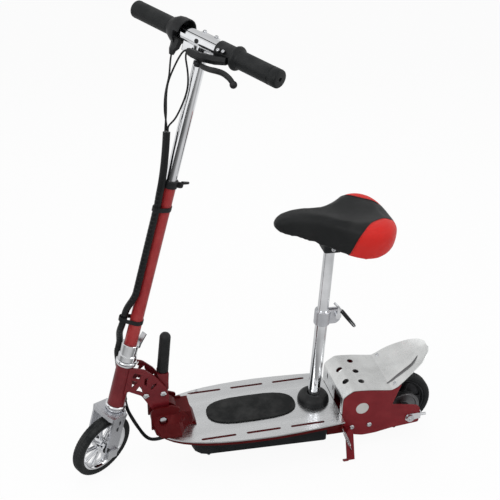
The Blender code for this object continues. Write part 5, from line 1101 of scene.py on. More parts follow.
@dataclass
class Column:
    """Fork, headset, red stem, collars, and the cable bundle with its spiral wrap."""

    shop: Workshop
    stem_radius: float = 0.0127
    stem_top: float = 0.658
    stem_foot: float = 0.2981
    bore: float = 0.01135
    cup_bore: float = 0.0123
    cord: float = 0.0018
    sleeve: float = 0.0068
    sleeve_top: float = 0.7595
    sleeve_foot: float = 0.2905
    wrap_top: float = 0.655
    wrap_pitch: float = 0.0085
    wrap_edge: float = 0.0009
    bands: tuple[float, float, float] = (0.616, 0.440, 0.370)
    band_hold: float = 0.0055
    beside: float = 0.0198
    wound: Pair = (0.0300, 95.0)
    first_turn: float = 0.45
    wound_foot: float = 0.296
    lead_turn: float = 0.050
    lead_reach: float = 0.0022
    loop_knots: tuple[Point, ...] = (
        (0.0490, 0.0280, 0.252), (0.0505, 0.0280, 0.225), (0.0530, 0.0270, 0.195), (0.0560, 0.0255, 0.160),
        (0.063, 0.021, 0.125), (0.080, 0.011, 0.086), (0.095, 0.004, 0.064), (0.111, 0.000, 0.057),
        (0.135, -0.003, 0.061), (0.162, -0.005, 0.068), (0.1857, -0.005, 0.070))
    loop_bend: tuple[Point, Point] = ((0.056, 0.025, 0.160), (0.049, 0.028, 0.250))
    # Outlines on the fork legs: a black axle guard, then two dark plates of painted shade where slots are.
    leg_marks: tuple[tuple[Pair, ...], ...] = (
        ((-0.0290, 0.0890), (-0.0290, 0.0775), (-0.0070, 0.0575), (-0.0030, 0.0665)),
        ((-0.0082, 0.1485), (-0.0112, 0.1470), (-0.0104, 0.1400), (-0.0074, 0.1410)),
        ((-0.0110, 0.1330), (-0.0140, 0.1315), (-0.0132, 0.1240), (-0.0102, 0.1250)))

    def build(self) -> None:
        """Builds the column's pieces."""
        shop = self.shop
        fork = shop.refined("fork", CAST, 0.0009)
        shop.keep(CHROME, 0.0004, "stem_collar")
        shop.keep(PLASTIC, 0.0004, "post_clamp")
        shop.keep(STEEL, 0.0005, "stem_cam_lever")
        shop.keep(PLASTIC, 0.0005, "clamp_wing")
        self.stem()
        self.cups()
        self.cables()
        shop.keep(PLASTIC, 0.0004, "band_upper", "band_lower")
        self.leg_details(fork)

    def stem(self) -> None:
        """The red tube, with a rolled lip at its mouth."""
        r, top, foot, bore = self.stem_radius, self.stem_top, self.stem_foot, self.bore
        tube = revolve([(bore, top - 0.0002), (bore + 0.0004, top), (r - 0.0004, top), (r, top - 0.0005),
                        (r, foot), (bore, foot)], 128, True)
        self.shop.place("stem_tube_form", [tube], RED, "steering", ["stem_tube"], at=STEER)

    def cups(self) -> None:
        """Headset cups, each a turned ring with two beads and a dark seal line."""
        for node, up in (("head_cup_lower", -1), ("head_cup_upper", 1)):
            low, high = span_of(node, HEAD)
            r, h, inner = high[0], high[2] - low[2], self.cup_bore
            shape = [(inner, 0.0), (r - 0.0020, 0.0), (r - 0.0006, 0.0012), (r, 0.0024), (r, h * 0.42),
                     (r - 0.0009, h * 0.47), (r - 0.0009, h * 0.55), (r, h * 0.60), (r - 0.0003, h * 0.80),
                     (r - 0.0016, h - 0.0006), (r - 0.0028, h), (inner, h)]
            base = low[2] if up > 0 else high[2]
            ring = revolve([(a, base + up * b) for a, b in shape], 112, True)
            self.shop.place(node + "_form", [ring], CHROME, "fold_head", [node], at=HEAD)
            middle = base + up * h * 0.51
            seal = revolve([(r - 0.0016, middle - 0.0005), (r - 0.0006, middle - 0.0005),
                            (r - 0.0006, middle + 0.0005), (r - 0.0016, middle + 0.0005)], 112, True)
            self.shop.place(node + "_seal", [seal], PLASTIC, "fold_head", slot=node, at=HEAD)

    def bundle(self, height: np.ndarray) -> np.ndarray:
        """Centre of the bundle at each height: beside the stem above, winding round it below the middle band.

        Args:
            height: heights up the stem.

        Returns:
            One point for each height, in the stem's own frame.
        """
        def eased(value: np.ndarray, start: float, end: float) -> np.ndarray:
            """Three times the square less twice the cube of the share of the way from start to end."""
            share = np.clip((value - start) / (end - start), 0, 1)
            return share * share * (3 - 2 * share)

        (upper_band, middle, lower_band), hold, out = self.bands, self.band_hold, self.beside
        far, turned = self.wound
        above = out + 0.0021 * eased(height, upper_band + hold, self.wrap_top)
        share = np.maximum(height - self.wrap_top, 0) / (0.760 - self.wrap_top)
        wound = (self.first_turn * eased(-height, -middle, -lower_band - hold)
                 + (1 - self.first_turn) * eased(-height, -lower_band + hold, -self.wound_foot))
        angle = math.radians(turned) * wound
        radius = out + (far - out) * wound
        upper = np.stack([-above, 0.0176 * share ** 1.5, height], -1)
        lower = np.stack([-radius * np.cos(angle), radius * np.sin(angle), height], -1)
        return np.where((height > middle)[:, None], upper, lower)

    def cables(self) -> None:
        """The bundle: plain sleeve above, then a ribbon wound in a spiral whose edge stands out of the round;
        the radius rises and falls along the length, out of step round the tube, so the turns climb. The three
        thin cables to the bar follow."""
        height, steps = np.linspace(self.sleeve_top, self.sleeve_foot, 900), 28
        path = self.bundle(height)
        tube = sweep(path, 1.0, steps)
        rows = tube.points.reshape(len(path), steps, 3) - path[:, None]
        turn = np.linspace(0, 1, steps, endpoint=False)[None]
        phase = (height[:, None] / self.wrap_pitch + turn) % 1.0
        ridge = np.clip(np.minimum(phase, 1 - phase) / 0.10, 0, 1)
        wrapped = np.clip((self.wrap_top - height) / 0.004, 0, 1)[:, None]
        strands = 0.0004 * np.cos(3 * 2 * np.pi * turn + height[:, None] * 20)
        size = (self.sleeve * 0.985 - (1 - ridge) * self.wrap_edge * wrapped + strands * (1 - wrapped) * 0.6)
        tube.points = (path[:, None] + rows * size[..., None]).reshape(-1, 3)
        self.shop.place("cable_sleeve_form", [tube], CORD, "steering", ["cable_sleeve"], angle=60, at=STEER)
        for node in ("cable_throttle", "cable_power", "cable_brake"):
            low, high = span_of(node, STEER)
            ends = (STEER @ Vector((0, 0, z)) for z in (low[2] + 0.004, high[2] - 0.030))
            self.shop.refined(node, CORD, levels=2, bend=("t_bar", *ends))
        self.loop()

    def loop(self) -> None:
        """The leads behind the head tube: a ribbed sleeve that thins, and from its end three leads that
        twist round the same line at a small distance."""
        foot, back = self.bundle(np.array([0.290]))[0], ROOT.inverted() @ STEER
        ends = [tuple(back @ Vector(foot - [0, 0, drop])) for drop in (0.0006, 0.012)]
        path = spline([*ends, *self.loop_knots], 500)
        fade = np.clip((path[:, 2] - 0.126) / 0.050, 0, 1) * (path[:, 0] < 0.12)
        run = distance_along(path)
        cover = run < run[np.argmax(path[:, 2] < 0.150)]
        radius = self.sleeve * (0.62 + 0.36 * fade) - 0.0005 * ripple(run, 0.0042)
        shells = [sweep(path[cover], radius[cover], 24)]
        leads = run >= run[np.argmax(path[:, 2] < 0.165)]
        line = path[leads]
        along = units(np.gradient(line, axis=0))
        side = units(np.cross(along, [0.0, 1.0, 0.0]))
        other = np.cross(along, side)
        for i in range(3):
            angle = (2 * np.pi * i / 3 + (run[leads] - run[leads][0]) / self.lead_turn)[:, None]
            offset = self.lead_reach * (np.cos(angle) * side + np.sin(angle) * other)
            shells.append(sweep(line + offset, self.cord, 12))
        bend = ("fold_head", *(ROOT @ Vector(p) for p in self.loop_bend))
        self.shop.place("cable_loop_form", shells, CORD, "frame", ["cable_loop"], angle=60, bend=bend, at=ROOT)

    def leg_details(self, fork: bpy.types.Object) -> None:
        """Thin dark plates on each fork leg's outer face, set where a ray meets it: a black axle guard, and two
        that stand for slots as painted shade.

        Args:
            fork: the fork's finished piece.
        """
        bpy.context.view_layer.update()
        shells = []
        for side in (-1, 1):
            way = STEER.to_3x3() @ Vector((0, -side, 0))
            for outline in self.leg_marks:
                x, z = np.array(outline).mean(0)
                hit, spot, _, _ = fork.ray_cast(STEER @ Vector((x, side * 0.08, z)), way)
                if hit:
                    y = (STEER.inverted() @ spot).y
                    shells.append(plate(outline, *sorted((side * 0.0006 - y, -side * 0.0008 - y))))
        self.shop.place("fork_leg_marks", shells, PLASTIC, "steering", slot="fork", at=STEER @ UPENDED)


@dataclass
class Bars:
    """Handlebar, chrome tee, grips, throttle housing, brake perch and lever."""

    shop: Workshop
    bar_radius: float = 0.0111
    bar_half: float = 0.158
    tee_radius: float = 0.0134
    tee: Pair = (-0.034, 0.055)
    tee_blocks: tuple[tuple[Point, Point], ...] = (
        ((-0.0085, 0.004, -0.028), (0.0085, 0.040, -0.008)),
        ((0.0095, -0.01675, -0.0035), (0.0205, 0.02375, 0.0110)))
    tee_screws: Pair = (-0.010, 0.017)
    slit_turn: float = 38.0
    hand_radius: float = 0.0160
    grip_start: float = 0.0745
    grip_tip: float = 0.168
    grip_pitch: float = 0.0024
    housing_end: float = 0.076
    post_foot: float = -0.440
    perch_screws: tuple[Pair, ...] = ((-0.047, 0.0049), (-0.058, 0.0064))
    lever_boss: tuple[float, float, float, float] = (-0.0235, -0.0150, -0.0300, 0.0072)
    lever_bore: float = 0.00325
    lever_half: float = 0.0029
    lever_ball: float = 0.0064
    blade: tuple[Point, ...] = (
        (-0.0300, -0.0330, -0.0290), (-0.0345, -0.0500, -0.0265), (-0.0370, -0.0680, -0.0225),
        (-0.0365, -0.0820, -0.0212), (-0.0350, -0.0940, -0.0240), (-0.0330, -0.1010, -0.0285),
        (-0.0318, -0.1042, -0.0320))

    def build(self) -> None:
        """Builds the bar's pieces."""
        shop = self.shop
        self.post()
        bar = barrel(0.0, self.bar_radius, -self.bar_half, self.bar_half, 0.0006, 96)
        shop.place("handlebar_form", [bar], CHROME, "t_bar", ["handlebar"], at=BAR @ CROSSWISE)
        self.grips()
        shop.keep(PLASTIC, 0.0007, "throttle_housing")
        shop.keep(PLASTIC, 0.0006, "brake_perch")
        self.lever()
        screws = [screw_head(0.0031, 0.0024).moved(toward((-0.0200, y, z), (-0.9, 0.0, 0.5)))
                  for y, z in self.perch_screws]
        shop.place("perch_screws", screws, STEEL, "t_bar", slot="brake_perch", at=BAR)

    def lever(self) -> None:
        """The brake lever: a pierced boss, a rounded blade below the grip that hooks down, and a ball."""
        x, y, z, r = self.lever_boss
        boss = barrel(self.lever_bore, r, -self.lever_half, self.lever_half, 0.0005, 64)
        path = spline(((x, y - 0.0050, z), *self.blade), 70)
        share = np.linspace(0, 1, len(path))
        radius = np.interp(share, [0, 0.14, 0.5, 0.8, 1.0], [0.0027, 0.0044, 0.0050, 0.0048, 0.0044])
        turn = np.linspace(-np.pi / 2, np.pi / 2, 25)
        ball = revolve([(self.lever_ball * math.cos(a), self.lever_ball * math.sin(a)) for a in turn], 40)
        shells = [boss.moved(Matrix.Translation((x, y, z))), sweep(path, radius, 24),
                  ball.moved(Matrix.Translation(self.blade[-1]))]
        self.shop.place("brake_lever_form", shells, PLASTIC, "brake", ["brake_lever"], angle=50, at=BAR)

    def post(self) -> None:
        """The chrome post, tee sleeve, block and rear clamp with two screws, a dark button and dot, and a dark
        strip on the sleeve that stands for its slit as painted shade.
        """
        r, t, (left, right) = self.bar_radius, self.tee_radius, self.tee
        post = revolve([(0.0, -0.004), (r, -0.004), (r, self.post_foot + 0.001), (r - 0.001, self.post_foot),
                        (0.0, self.post_foot)], 112)
        sleeve = barrel(r + 0.0001, t, left, right, 0.0005, 112).moved(BAR @ CROSSWISE)
        blocks = [block(low, high, 0.0022, 5).moved(BAR) for low, high in self.tee_blocks]
        self.shop.place("tee_form", [post.moved(BAR), sleeve, *blocks], CHROME, "t_bar", ["bar_post"])
        screws = [screw_head(0.0036, 0.0030).moved(BAR @ Matrix.Translation((0.0152, y, 0.0118)))
                  for y in self.tee_screws]
        self.shop.place("tee_screws", screws, STEEL, "t_bar", slot="bar_post")
        # Painted shade: a thin dark strip on the sleeve where its slit is.
        slit_shade = block((-0.0003, left + 0.0006, -0.0007), (0.00012, right - 0.0006, 0.0007), 0.0001, 2)
        slit_shade.points[:, 0] -= t
        button = revolve([(0.0, 0.0), (0.0040, 0.0), (0.0040, 0.0012), (0.0034, 0.0017), (0.0, 0.0019)], 40)
        dot = revolve([(0.0, 0.0), (0.0022, 0.0), (0.0020, 0.0006), (0.0, 0.0007)], 32)
        dark = [slit_shade.moved(BAR @ Matrix.Rotation(math.radians(self.slit_turn), 4, "Y")),
                button.moved(BAR @ toward((-t + 0.0002, 0.007, 0.0), (-1, 0, 0))),
                dot.moved(BAR @ toward((-0.0084, 0.015, -0.0165), (-1, 0, 0)))]
        self.shop.place("tee_slit_and_button", dark, PLASTIC, "t_bar", slot="bar_post")

    def palm(self, start: float, end: float, count: int) -> list[Pair]:
        """The palm's profile: the radius less a little, and less again by a ripple along it.

        Args:
            start: where the ripples start along the bar.
            end: where they end.
            count: points along it.

        Returns:
            Radius and place of each point.
        """
        y = np.linspace(start, end, count)
        return list(zip(self.hand_radius - 0.0002 - 0.00022 * ripple(y, self.grip_pitch), y))

    def grips(self) -> None:
        """Moulded grips: fine rings along the palm, a flange at the left one's root, and a rounded cap."""
        tip, start, r, half = self.grip_tip, self.grip_start, self.hand_radius, self.bar_half
        bore = self.bar_radius + 0.0003
        left = [(0.0030, half + 0.0003), (bore, half + 0.0003), (bore, start - 0.0035),
                (r + 0.0028, start - 0.0035), (r + 0.0042, start - 0.0024), (r + 0.0050, start - 0.0002),
                (r + 0.0048, start + 0.0020), (r + 0.0036, start + 0.0042), (r + 0.0010, start + 0.0056),
                (r, start + 0.0070), *self.palm(start + 0.010, tip - 0.0205, 160), (r, tip - 0.0195),
                (r, tip - 0.0184), (r - 0.0009, tip - 0.0176), (r - 0.0009, tip - 0.0160), (r, tip - 0.0151),
                (r, tip - 0.0040), (r - 0.0005, tip - 0.0018), (r - 0.0018, tip - 0.0004),
                (r - 0.0034, tip), (0.0034, tip), (0.0030, tip - 0.0006)]
        self.shop.place("grip_left_form", [revolve(left, 96, True)], GRIP, "t_bar", ["grip_left"], angle=50,
                        at=BAR @ UPENDED)
        root = self.housing_end
        right = [(0.0, half + 0.0006), (bore, half + 0.0006), (bore, root + 0.0006),
                 (r - 0.0004, root + 0.0006), (r, root + 0.0012), *self.palm(root + 0.004, tip - 0.008, 170),
                 (r, tip - 0.0060), (r - 0.0004, tip - 0.0026), (r - 0.0016, tip - 0.0008), (r - 0.0036, tip),
                 (0.0, tip)]
        self.shop.place("grip_right_form", [revolve(right, 96)], GRIP, "throttle", ["grip_right"], angle=50,
                        at=BAR @ CROSSWISE)


@dataclass
class FoldingHead:
    """The red folding truss, its base, the latch with its handle, bolts and spring."""

    shop: Workshop
    grip_radius: float = 0.0112
    grip_length: float = 0.091
    grip_start: float = 0.0085
    grip_pitch: float = 0.0046
    grip_line: tuple[Point, Point] = ((0.0015, 0, 0.036), (0.0104, 0, 0.136))
    latch: Pair = (0.131, 0.187)
    plate_span: Pair = (0.0130, 0.0187)
    edge: float = 0.0006
    near_windows: tuple[tuple[Pair, ...], ...] = (
        ((0.0757, 0.2460), (0.0697, 0.2362), (0.0852, 0.2283), (0.0888, 0.2398)),
        ((0.0686, 0.2294), (0.0702, 0.2116), (0.0808, 0.2245)),
        ((0.0842, 0.2128), (0.0772, 0.2030), (0.0900, 0.1945)),
        ((0.0986, 0.2308), (0.0929, 0.2153), (0.0957, 0.2132), (0.1019, 0.2284)),
        ((0.1130, 0.2138), (0.1055, 0.2020), (0.1080, 0.1998), (0.1180, 0.2098)))
    far_windows: tuple[tuple[Pair, ...], ...] = (
        ((0.0872, 0.2508), (0.0780, 0.2348), (0.0803, 0.2328), (0.0890, 0.2485)),
        ((0.0990, 0.2388), (0.0878, 0.2283), (0.0998, 0.2248)))

    def build(self) -> None:
        """Builds the folding head's pieces."""
        shop = self.shop
        shop.refined("fold_base", RED_DEEP_SHADE, self.edge, angle=14)
        self.bracket()
        shop.keep(BRACKET_RED_SHADED, self.edge, "latch_lever")
        shop.keep(STEEL, 0.0005, "fold_bolt", "latch_bolt", "anchor_bolt")
        shop.refined("latch_spring", STEEL, levels=2)
        self.handle()

    def bracket(self) -> None:
        """The head bracket with its windows cut out to their full size, then its edges softened."""
        piece = self.shop.refined("head_bracket", BRACKET_RED_SHADED, 0.0)
        near, far = self.plate_span, (-self.plate_span[1], -self.plate_span[0])
        prisms = [plate(window, *near) for window in self.near_windows]
        prisms += [plate(window, *far) for window in self.near_windows + self.far_windows]
        self.shop.cut(piece, [prism.moved(ROOT @ UPENDED) for prism in prisms])
        self.shop.soften(piece, self.edge, math.radians(32))

    def handle(self) -> None:
        """The latch's handle: a turned grip with ring ridges whose end is rounded off."""
        foot, tip = (Vector(p) for p in self.grip_line)
        matrix = ROOT @ Matrix.Translation((self.latch[0], 0, self.latch[1])) @ toward(foot, tip - foot)
        r, start, end = self.grip_radius, self.grip_start, self.grip_start + self.grip_length
        z = np.linspace(start + 0.008, end - r - 0.004, 150)
        waist = r * (1.045 - 0.045 * np.clip((z - start) / self.grip_length, 0, 1))
        body = waist - 0.00035 * ripple(z, self.grip_pitch)
        turn = np.linspace(0, np.pi / 2, 12)
        cap = [(r * math.cos(a), end - r + r * math.sin(a)) for a in turn[:-1]]
        profile = [(0.0, 0.0707), (0.0048, 0.0707), (0.0048, start), (r * 1.04 - 0.001, start),
                   (r * 1.05, start + 0.0012), (r * 1.05, start + 0.006), *zip(body, z), *cap, (0.0, end)]
        self.shop.place("latch_grip_form", [revolve(profile, 88)], GRIP, "latch", ["latch_grip"], angle=50,
                        at=matrix)


@dataclass
class Deck:
    """Polished deck with its slots and pad, the red tub and the battery case."""

    shop: Workshop
    screws: tuple[Pair, ...] = ((0.475, -0.078), (0.475, 0.078), (0.218, -0.083), (0.218, 0.083))
    case_inset: Pair = (0.030, 0.012)

    def build(self) -> None:
        """Builds the deck's pieces."""
        shop = self.shop
        for node, finish, bevel in (("deck_plate", POLISHED, 0.0010), ("grip_pad", TAPE, 0.0007),
                                    ("deck_tub", RED_DEEP_SHADE, 0.0009), ("battery_case", CASE, 0.0015),
                                    ("battery_pack", PLASTIC, 0.0010)):
            shop.keep(finish, bevel, node)
        top = span_of("deck_plate", ROOT)[1][2]
        heads = [screw_head(0.0040, 0.0014).moved(Matrix.Translation((x, y, top))) for x, y in self.screws]
        shop.place("deck_screws", heads, STEEL, "frame", slot="deck_plate", at=ROOT)
        self.case_screws()

    def case_screws(self) -> None:
        """Cover screws in two rows under the battery case."""
        (low, high), (end, side) = span_of("battery_case", ROOT), self.case_inset
        turn = Matrix.Rotation(math.pi, 4, "X")
        heads = [screw_head(0.0036, 0.0014).moved(Matrix.Translation((x, y, low[2])) @ turn)
                 for x in np.linspace(low[0] + end, high[0] - end, 4) for y in (low[1] + side, high[1] - side)]
        self.shop.place("case_screws", heads, STEEL, "frame", slot="battery_case", at=ROOT)


@dataclass
class Tail:
    """Side plates, the bright fender over the motor, the motor, roller chain, drum band and adjusters."""

    shop: Workshop
    motor: Pair = (0.545, 0.112)
    motor_radius: float = 0.034
    motor_start: float = -0.0488
    cooling: Pair = (0.0010, 0.0050)
    pitch: float = 0.00635
    sprocket: int = 44
    pinion: int = 11
    chain_y: float = 0.041
    link: Pair = (0.0026, 0.0019)
    link_places: Pair = (0.0027, 0.0019)
    link_plate: float = 0.0007
    sheet: float = 0.0016
    half: float = 0.063
    hole_radius: float = 0.0066
    hole_span: Pair = (0.13, 0.20)
    holes: tuple[Pair, ...] = ((-0.106, 0.040), (-0.138, 0.017), (-0.106, 0.003), (-0.138, -0.025),
                               (-0.106, -0.033))
    vents: tuple[Pair, ...] = ((0.0355, 0.131), (-0.0025, 0.129))
    vent: Pair = (0.0026, 0.007)
    notch: tuple[Point, Point] = ((0.49, -0.052, 0.09), (0.51, -0.012, 0.136))
    # Painted shade: knots of a dark line on the fender's near side, standing for the shadow and dark reflection
    # in the tail's channel.
    bead: tuple[Point, ...] = (
        (0.6010, -0.0418, 0.152), (0.6254, -0.0358, 0.160), (0.6483, -0.0301, 0.171), (0.6672, -0.0233, 0.182),
        (0.6847, -0.0073, 0.193))
    fender_bolts: tuple[Pair, ...] = ((0.6171, 0.0540), (0.6179, -0.0504))
    plate_bolts: tuple[Pair, ...] = ((0.5245, 0.0654), (0.5637, 0.0660))

    def build(self) -> None:
        """Builds the tail's pieces."""
        shop = self.shop
        shop.keep(PLATE_RED_SHADED, 0.0007, "side_plate_left", "side_plate_right")
        shop.keep(CHROME, 0.0004, "chain_adjuster_left", "chain_adjuster_right")
        shop.keep(DARK_STEEL, 0.0003, "brake_band")
        shop.keep(STEEL, 0.0003, "motor_pinion")
        self.fender()
        self.motor_body()
        self.chain()
        self.screws()

    def rows(self) -> np.ndarray:
        """Rows of the fender's sheet.

        Returns:
            Edge x, edge z, half width and the drop of its middle, one row a station.
        """
        h = self.half
        return spline([
            (-0.1555, 0.0345, h, 0), (-0.1555, 0.0705, h, 0), (-0.1520, 0.0778, h, 0), (-0.1464, 0.0830, h, 0),
            (-0.1390, 0.0878, h, 0), (-0.1300, 0.0914, h, 0), (-0.0970, 0.0886, h, 0), (-0.0530, 0.0817, h, 0),
            (-0.0440, 0.0830, h, 0), (-0.0365, 0.0865, h, 0.0004), (-0.0290, 0.0920, h - 0.001, 0.002),
            (-0.0200, 0.0985, h - 0.003, 0.005), (-0.0100, 0.1052, h - 0.006, 0.007),
            (0.0010, 0.1120, h - 0.010, 0.009), (0.0130, 0.1190, h - 0.015, 0.010),
            (0.0250, 0.1262, h - 0.021, 0.010), (0.0360, 0.1330, h - 0.030, 0.009),
            (0.0440, 0.1380, h - 0.040, 0.006), (0.0495, 0.1410, h - 0.053, 0.002)], 150)

    def fender(self) -> None:
        """One bent sheet: along its length it follows the rows, and across it each point drops most in the
        middle; then it is given a thickness and its holes are cut."""
        rows = self.rows()
        v = np.linspace(-1, 1, 49)
        v = np.sign(v) * (1 - (1 - np.abs(v)) ** 1.25)
        x, z, half, drop = (rows[:, i:i + 1] for i in range(4))
        points = np.stack([np.broadcast_to(WHEELBASE + x, (len(rows), len(v))), half * v,
                           WHEEL_RADIUS + z - np.maximum(drop, 0) * (1 - v * v)], -1).reshape(-1, 3)
        faces = grid_faces(len(rows), len(v), False, False).tolist()
        piece = mesh_object("fender_form", carried(points, ROOT), faces)
        solid = piece.modifiers.new("sheet", "SOLIDIFY")
        solid.thickness, solid.offset, solid.use_even_offset = self.sheet, 0.0, True
        (low, high), r, (wide, tall) = self.hole_span, self.hole_radius, self.vent
        hole = revolve([(0.0, low), (r, low), (r, high), (0.0, high)], 48)
        holes = [hole.moved(Matrix.Translation((WHEELBASE + a, b, 0))) for a, b in self.holes]
        near, far = self.notch
        holes += [block((near[0], a - wide, b - tall), (far[0], a + wide, b + tall), 0.0020, 5)
                  for a, b in self.vents]
        holes.append(block(near, far, 0.003, 5))
        self.shop.cut(piece, [cutter.moved(ROOT) for cutter in holes])
        self.shop.tidy(piece.data, 40)
        self.shop.dress(piece, SHEET, "frame", ["fender"])
        self.trim(piece)

    def trim(self, sheet: bpy.types.Object) -> None:
        """A dark line of painted shade and dark reflection that follows the dished tail on its near side only,
        where its channel looks dark, and two screws, all set onto the sheet.

        Args:
            sheet: the fender's finished piece.
        """
        up = ROOT.to_3x3() @ Vector((0, 0, 1))
        line = []
        for point in spline(self.bead, 60):
            place = ROOT @ Vector(point)
            hit, spot, _, _ = sheet.ray_cast(place + up * 0.03, -up, distance=0.06)
            line.append(spot if hit else place)
        path = smoothed(np.array(line), 4) - np.array(up) * 0.0008
        radius = 0.0036 * np.sqrt(np.maximum(1 - np.linspace(-1, 1, len(path)) ** 2, 0.01))
        self.shop.place("fender_bead", [sweep(path, radius, 16)], DARK_STEEL, "frame", slot="fender", angle=60)
        heads = []
        for x, y in self.fender_bolts:
            hit, spot, normal, _ = sheet.ray_cast(ROOT @ Vector((x, y, 0.20)), -up, distance=0.10)
            if hit:
                heads.append(screw_head(0.0042, 0.0020).moved(toward(spot, normal)))
        self.shop.place("fender_screws", heads, STEEL, "frame", slot="fender")

    def motor_body(self) -> None:
        """The motor: a turned can with cooling rings, end bells and a silver boss through the near plate."""
        matrix = ROOT @ Matrix.Translation((self.motor[0], 0, self.motor[1])) @ CROSSWISE
        low, high = span_of("motor", matrix)
        r, left, right, tip = self.motor_radius, self.motor_start, high[2] - 0.001, low[2]
        deep, pitch = self.cooling
        y = np.linspace(left + 0.012, right - 0.012, 120)
        can = r - deep * ripple(y, pitch) ** 3
        profile = [(0.0, right - 0.010), (0.0046, right - 0.010), (0.0046, right + 0.001),
                   (0.012, right + 0.001), (0.012, right - 0.001), (r - 0.003, right - 0.001),
                   (r - 0.001, right - 0.002), (r, right - 0.004), *zip(can[::-1], y[::-1]),
                   (r, left + 0.004), (r - 0.001, left + 0.002), (r - 0.003, left), (0.0128, left),
                   (0.0128, tip + 0.0016), (0.0120, tip + 0.0006), (0.0110, tip), (0.0068, tip),
                   (0.0062, tip + 0.0016), (0.0, tip + 0.0016)]
        self.shop.place("motor_form", [revolve(profile, 112)], DARK_STEEL, "frame", ["motor"], at=matrix)
        face = tip + 0.0002
        ring = revolve([(0.0130, face), (0.0160, face), (0.0160, face - 0.0004), (0.0130, face - 0.0004)],
                       72, True)
        cap = revolve([(0.0, face), (0.0146, face), (0.0150, face - 0.0004), (0.0147, face - 0.0009),
                       (0.0, face - 0.0011)], 72)
        self.shop.place("motor_boss_ring", [ring], PLASTIC, "frame", slot="motor", at=matrix)
        self.shop.place("motor_boss_cap", [cap], BOSS, "frame", slot="motor", at=matrix)

    def chain(self) -> None:
        """A roller chain: pins stand a pitch apart on the two pitch circles and the straight runs between;
        each link is two rounded plates, set wide and narrow in turn, with a roller on every pin."""
        big, small = np.array([WHEELBASE, WHEEL_RADIUS]), np.array(self.motor)
        r1, r2 = (self.pitch / 2 / math.sin(math.pi / teeth) for teeth in (self.sprocket, self.pinion))
        across = small - big
        heading, lean = math.atan2(across[1], across[0]), math.acos((r1 - r2) / np.linalg.norm(across))
        a = heading + lean + np.linspace(0, 2 * math.pi - 2 * lean, 400)
        b = heading - lean + np.linspace(0, 2 * lean, 200)
        path = np.vstack([big + r1 * np.stack([np.cos(a), np.sin(a)], -1),
                          small + r2 * np.stack([np.cos(b), np.sin(b)], -1)])
        path = np.vstack([path, path[:1]])
        run = distance_along(path)
        links = round(run[-1] / self.pitch / 2) * 2
        even = np.linspace(0, run[-1], links, endpoint=False)
        pins = np.stack([np.interp(even, run, path[:, i]) for i in range(2)], -1)
        roller = revolve([(0.0, -0.0029), (0.0009, -0.0029), (0.0009, -0.0013), (0.0016, -0.0013),
                          (0.0016, 0.0013), (0.0009, 0.0013), (0.0009, 0.0029), (0.0, 0.0029)], 10)
        plates, rollers = [], []
        for i, (p, q) in enumerate(zip(pins, np.roll(pins, -1, axis=0))):
            d, middle, depth = q - p, (p + q) / 2, self.link_places[i % 2]
            place = Matrix.Translation((middle[0], self.chain_y, middle[1])) @ Matrix.Rotation(
                -math.atan2(d[1], d[0]), 4, "Y") @ UPENDED
            outline = self.link_outline(np.linalg.norm(d))
            plates += [plate(outline, *sorted((side * depth, side * (depth - self.link_plate)))).moved(place)
                       for side in (-1, 1)]
            rollers.append(roller.moved(Matrix.Translation((p[0], self.chain_y, p[1])) @ CROSSWISE))
        self.shop.place("chain_plates", plates, CHAIN, "frame", ["drive_chain"], at=ROOT)
        self.shop.place("chain_rollers", rollers, STEEL, "frame", slot="drive_chain", at=ROOT)
        LOG.info("chain of %d links", links)

    def link_outline(self, length: float) -> np.ndarray:
        """A link plate's outline: an arc round each pin, drawn in at the waist.

        Args:
            length: distance between its pins.

        Returns:
            The corners, in order.
        """
        radius, waist = self.link
        a = np.linspace(-0.42 * np.pi, 0.42 * np.pi, 6)
        right = np.stack([length / 2 + radius * np.cos(a), radius * np.sin(a)], -1)
        return np.vstack([right, [(0.0, waist)], -right, [(0.0, -waist)]])

    def screws(self) -> None:
        """Bolt heads on both side plates."""
        heads = [screw_head(0.0056, 0.0030).moved(toward((x, side * self.half, z), (0, side, 0)))
                 for x, z in self.plate_bolts for side in (-1, 1)]
        self.shop.place("tail_screws", heads, STEEL, "frame", slot="side_plate_left", at=ROOT)


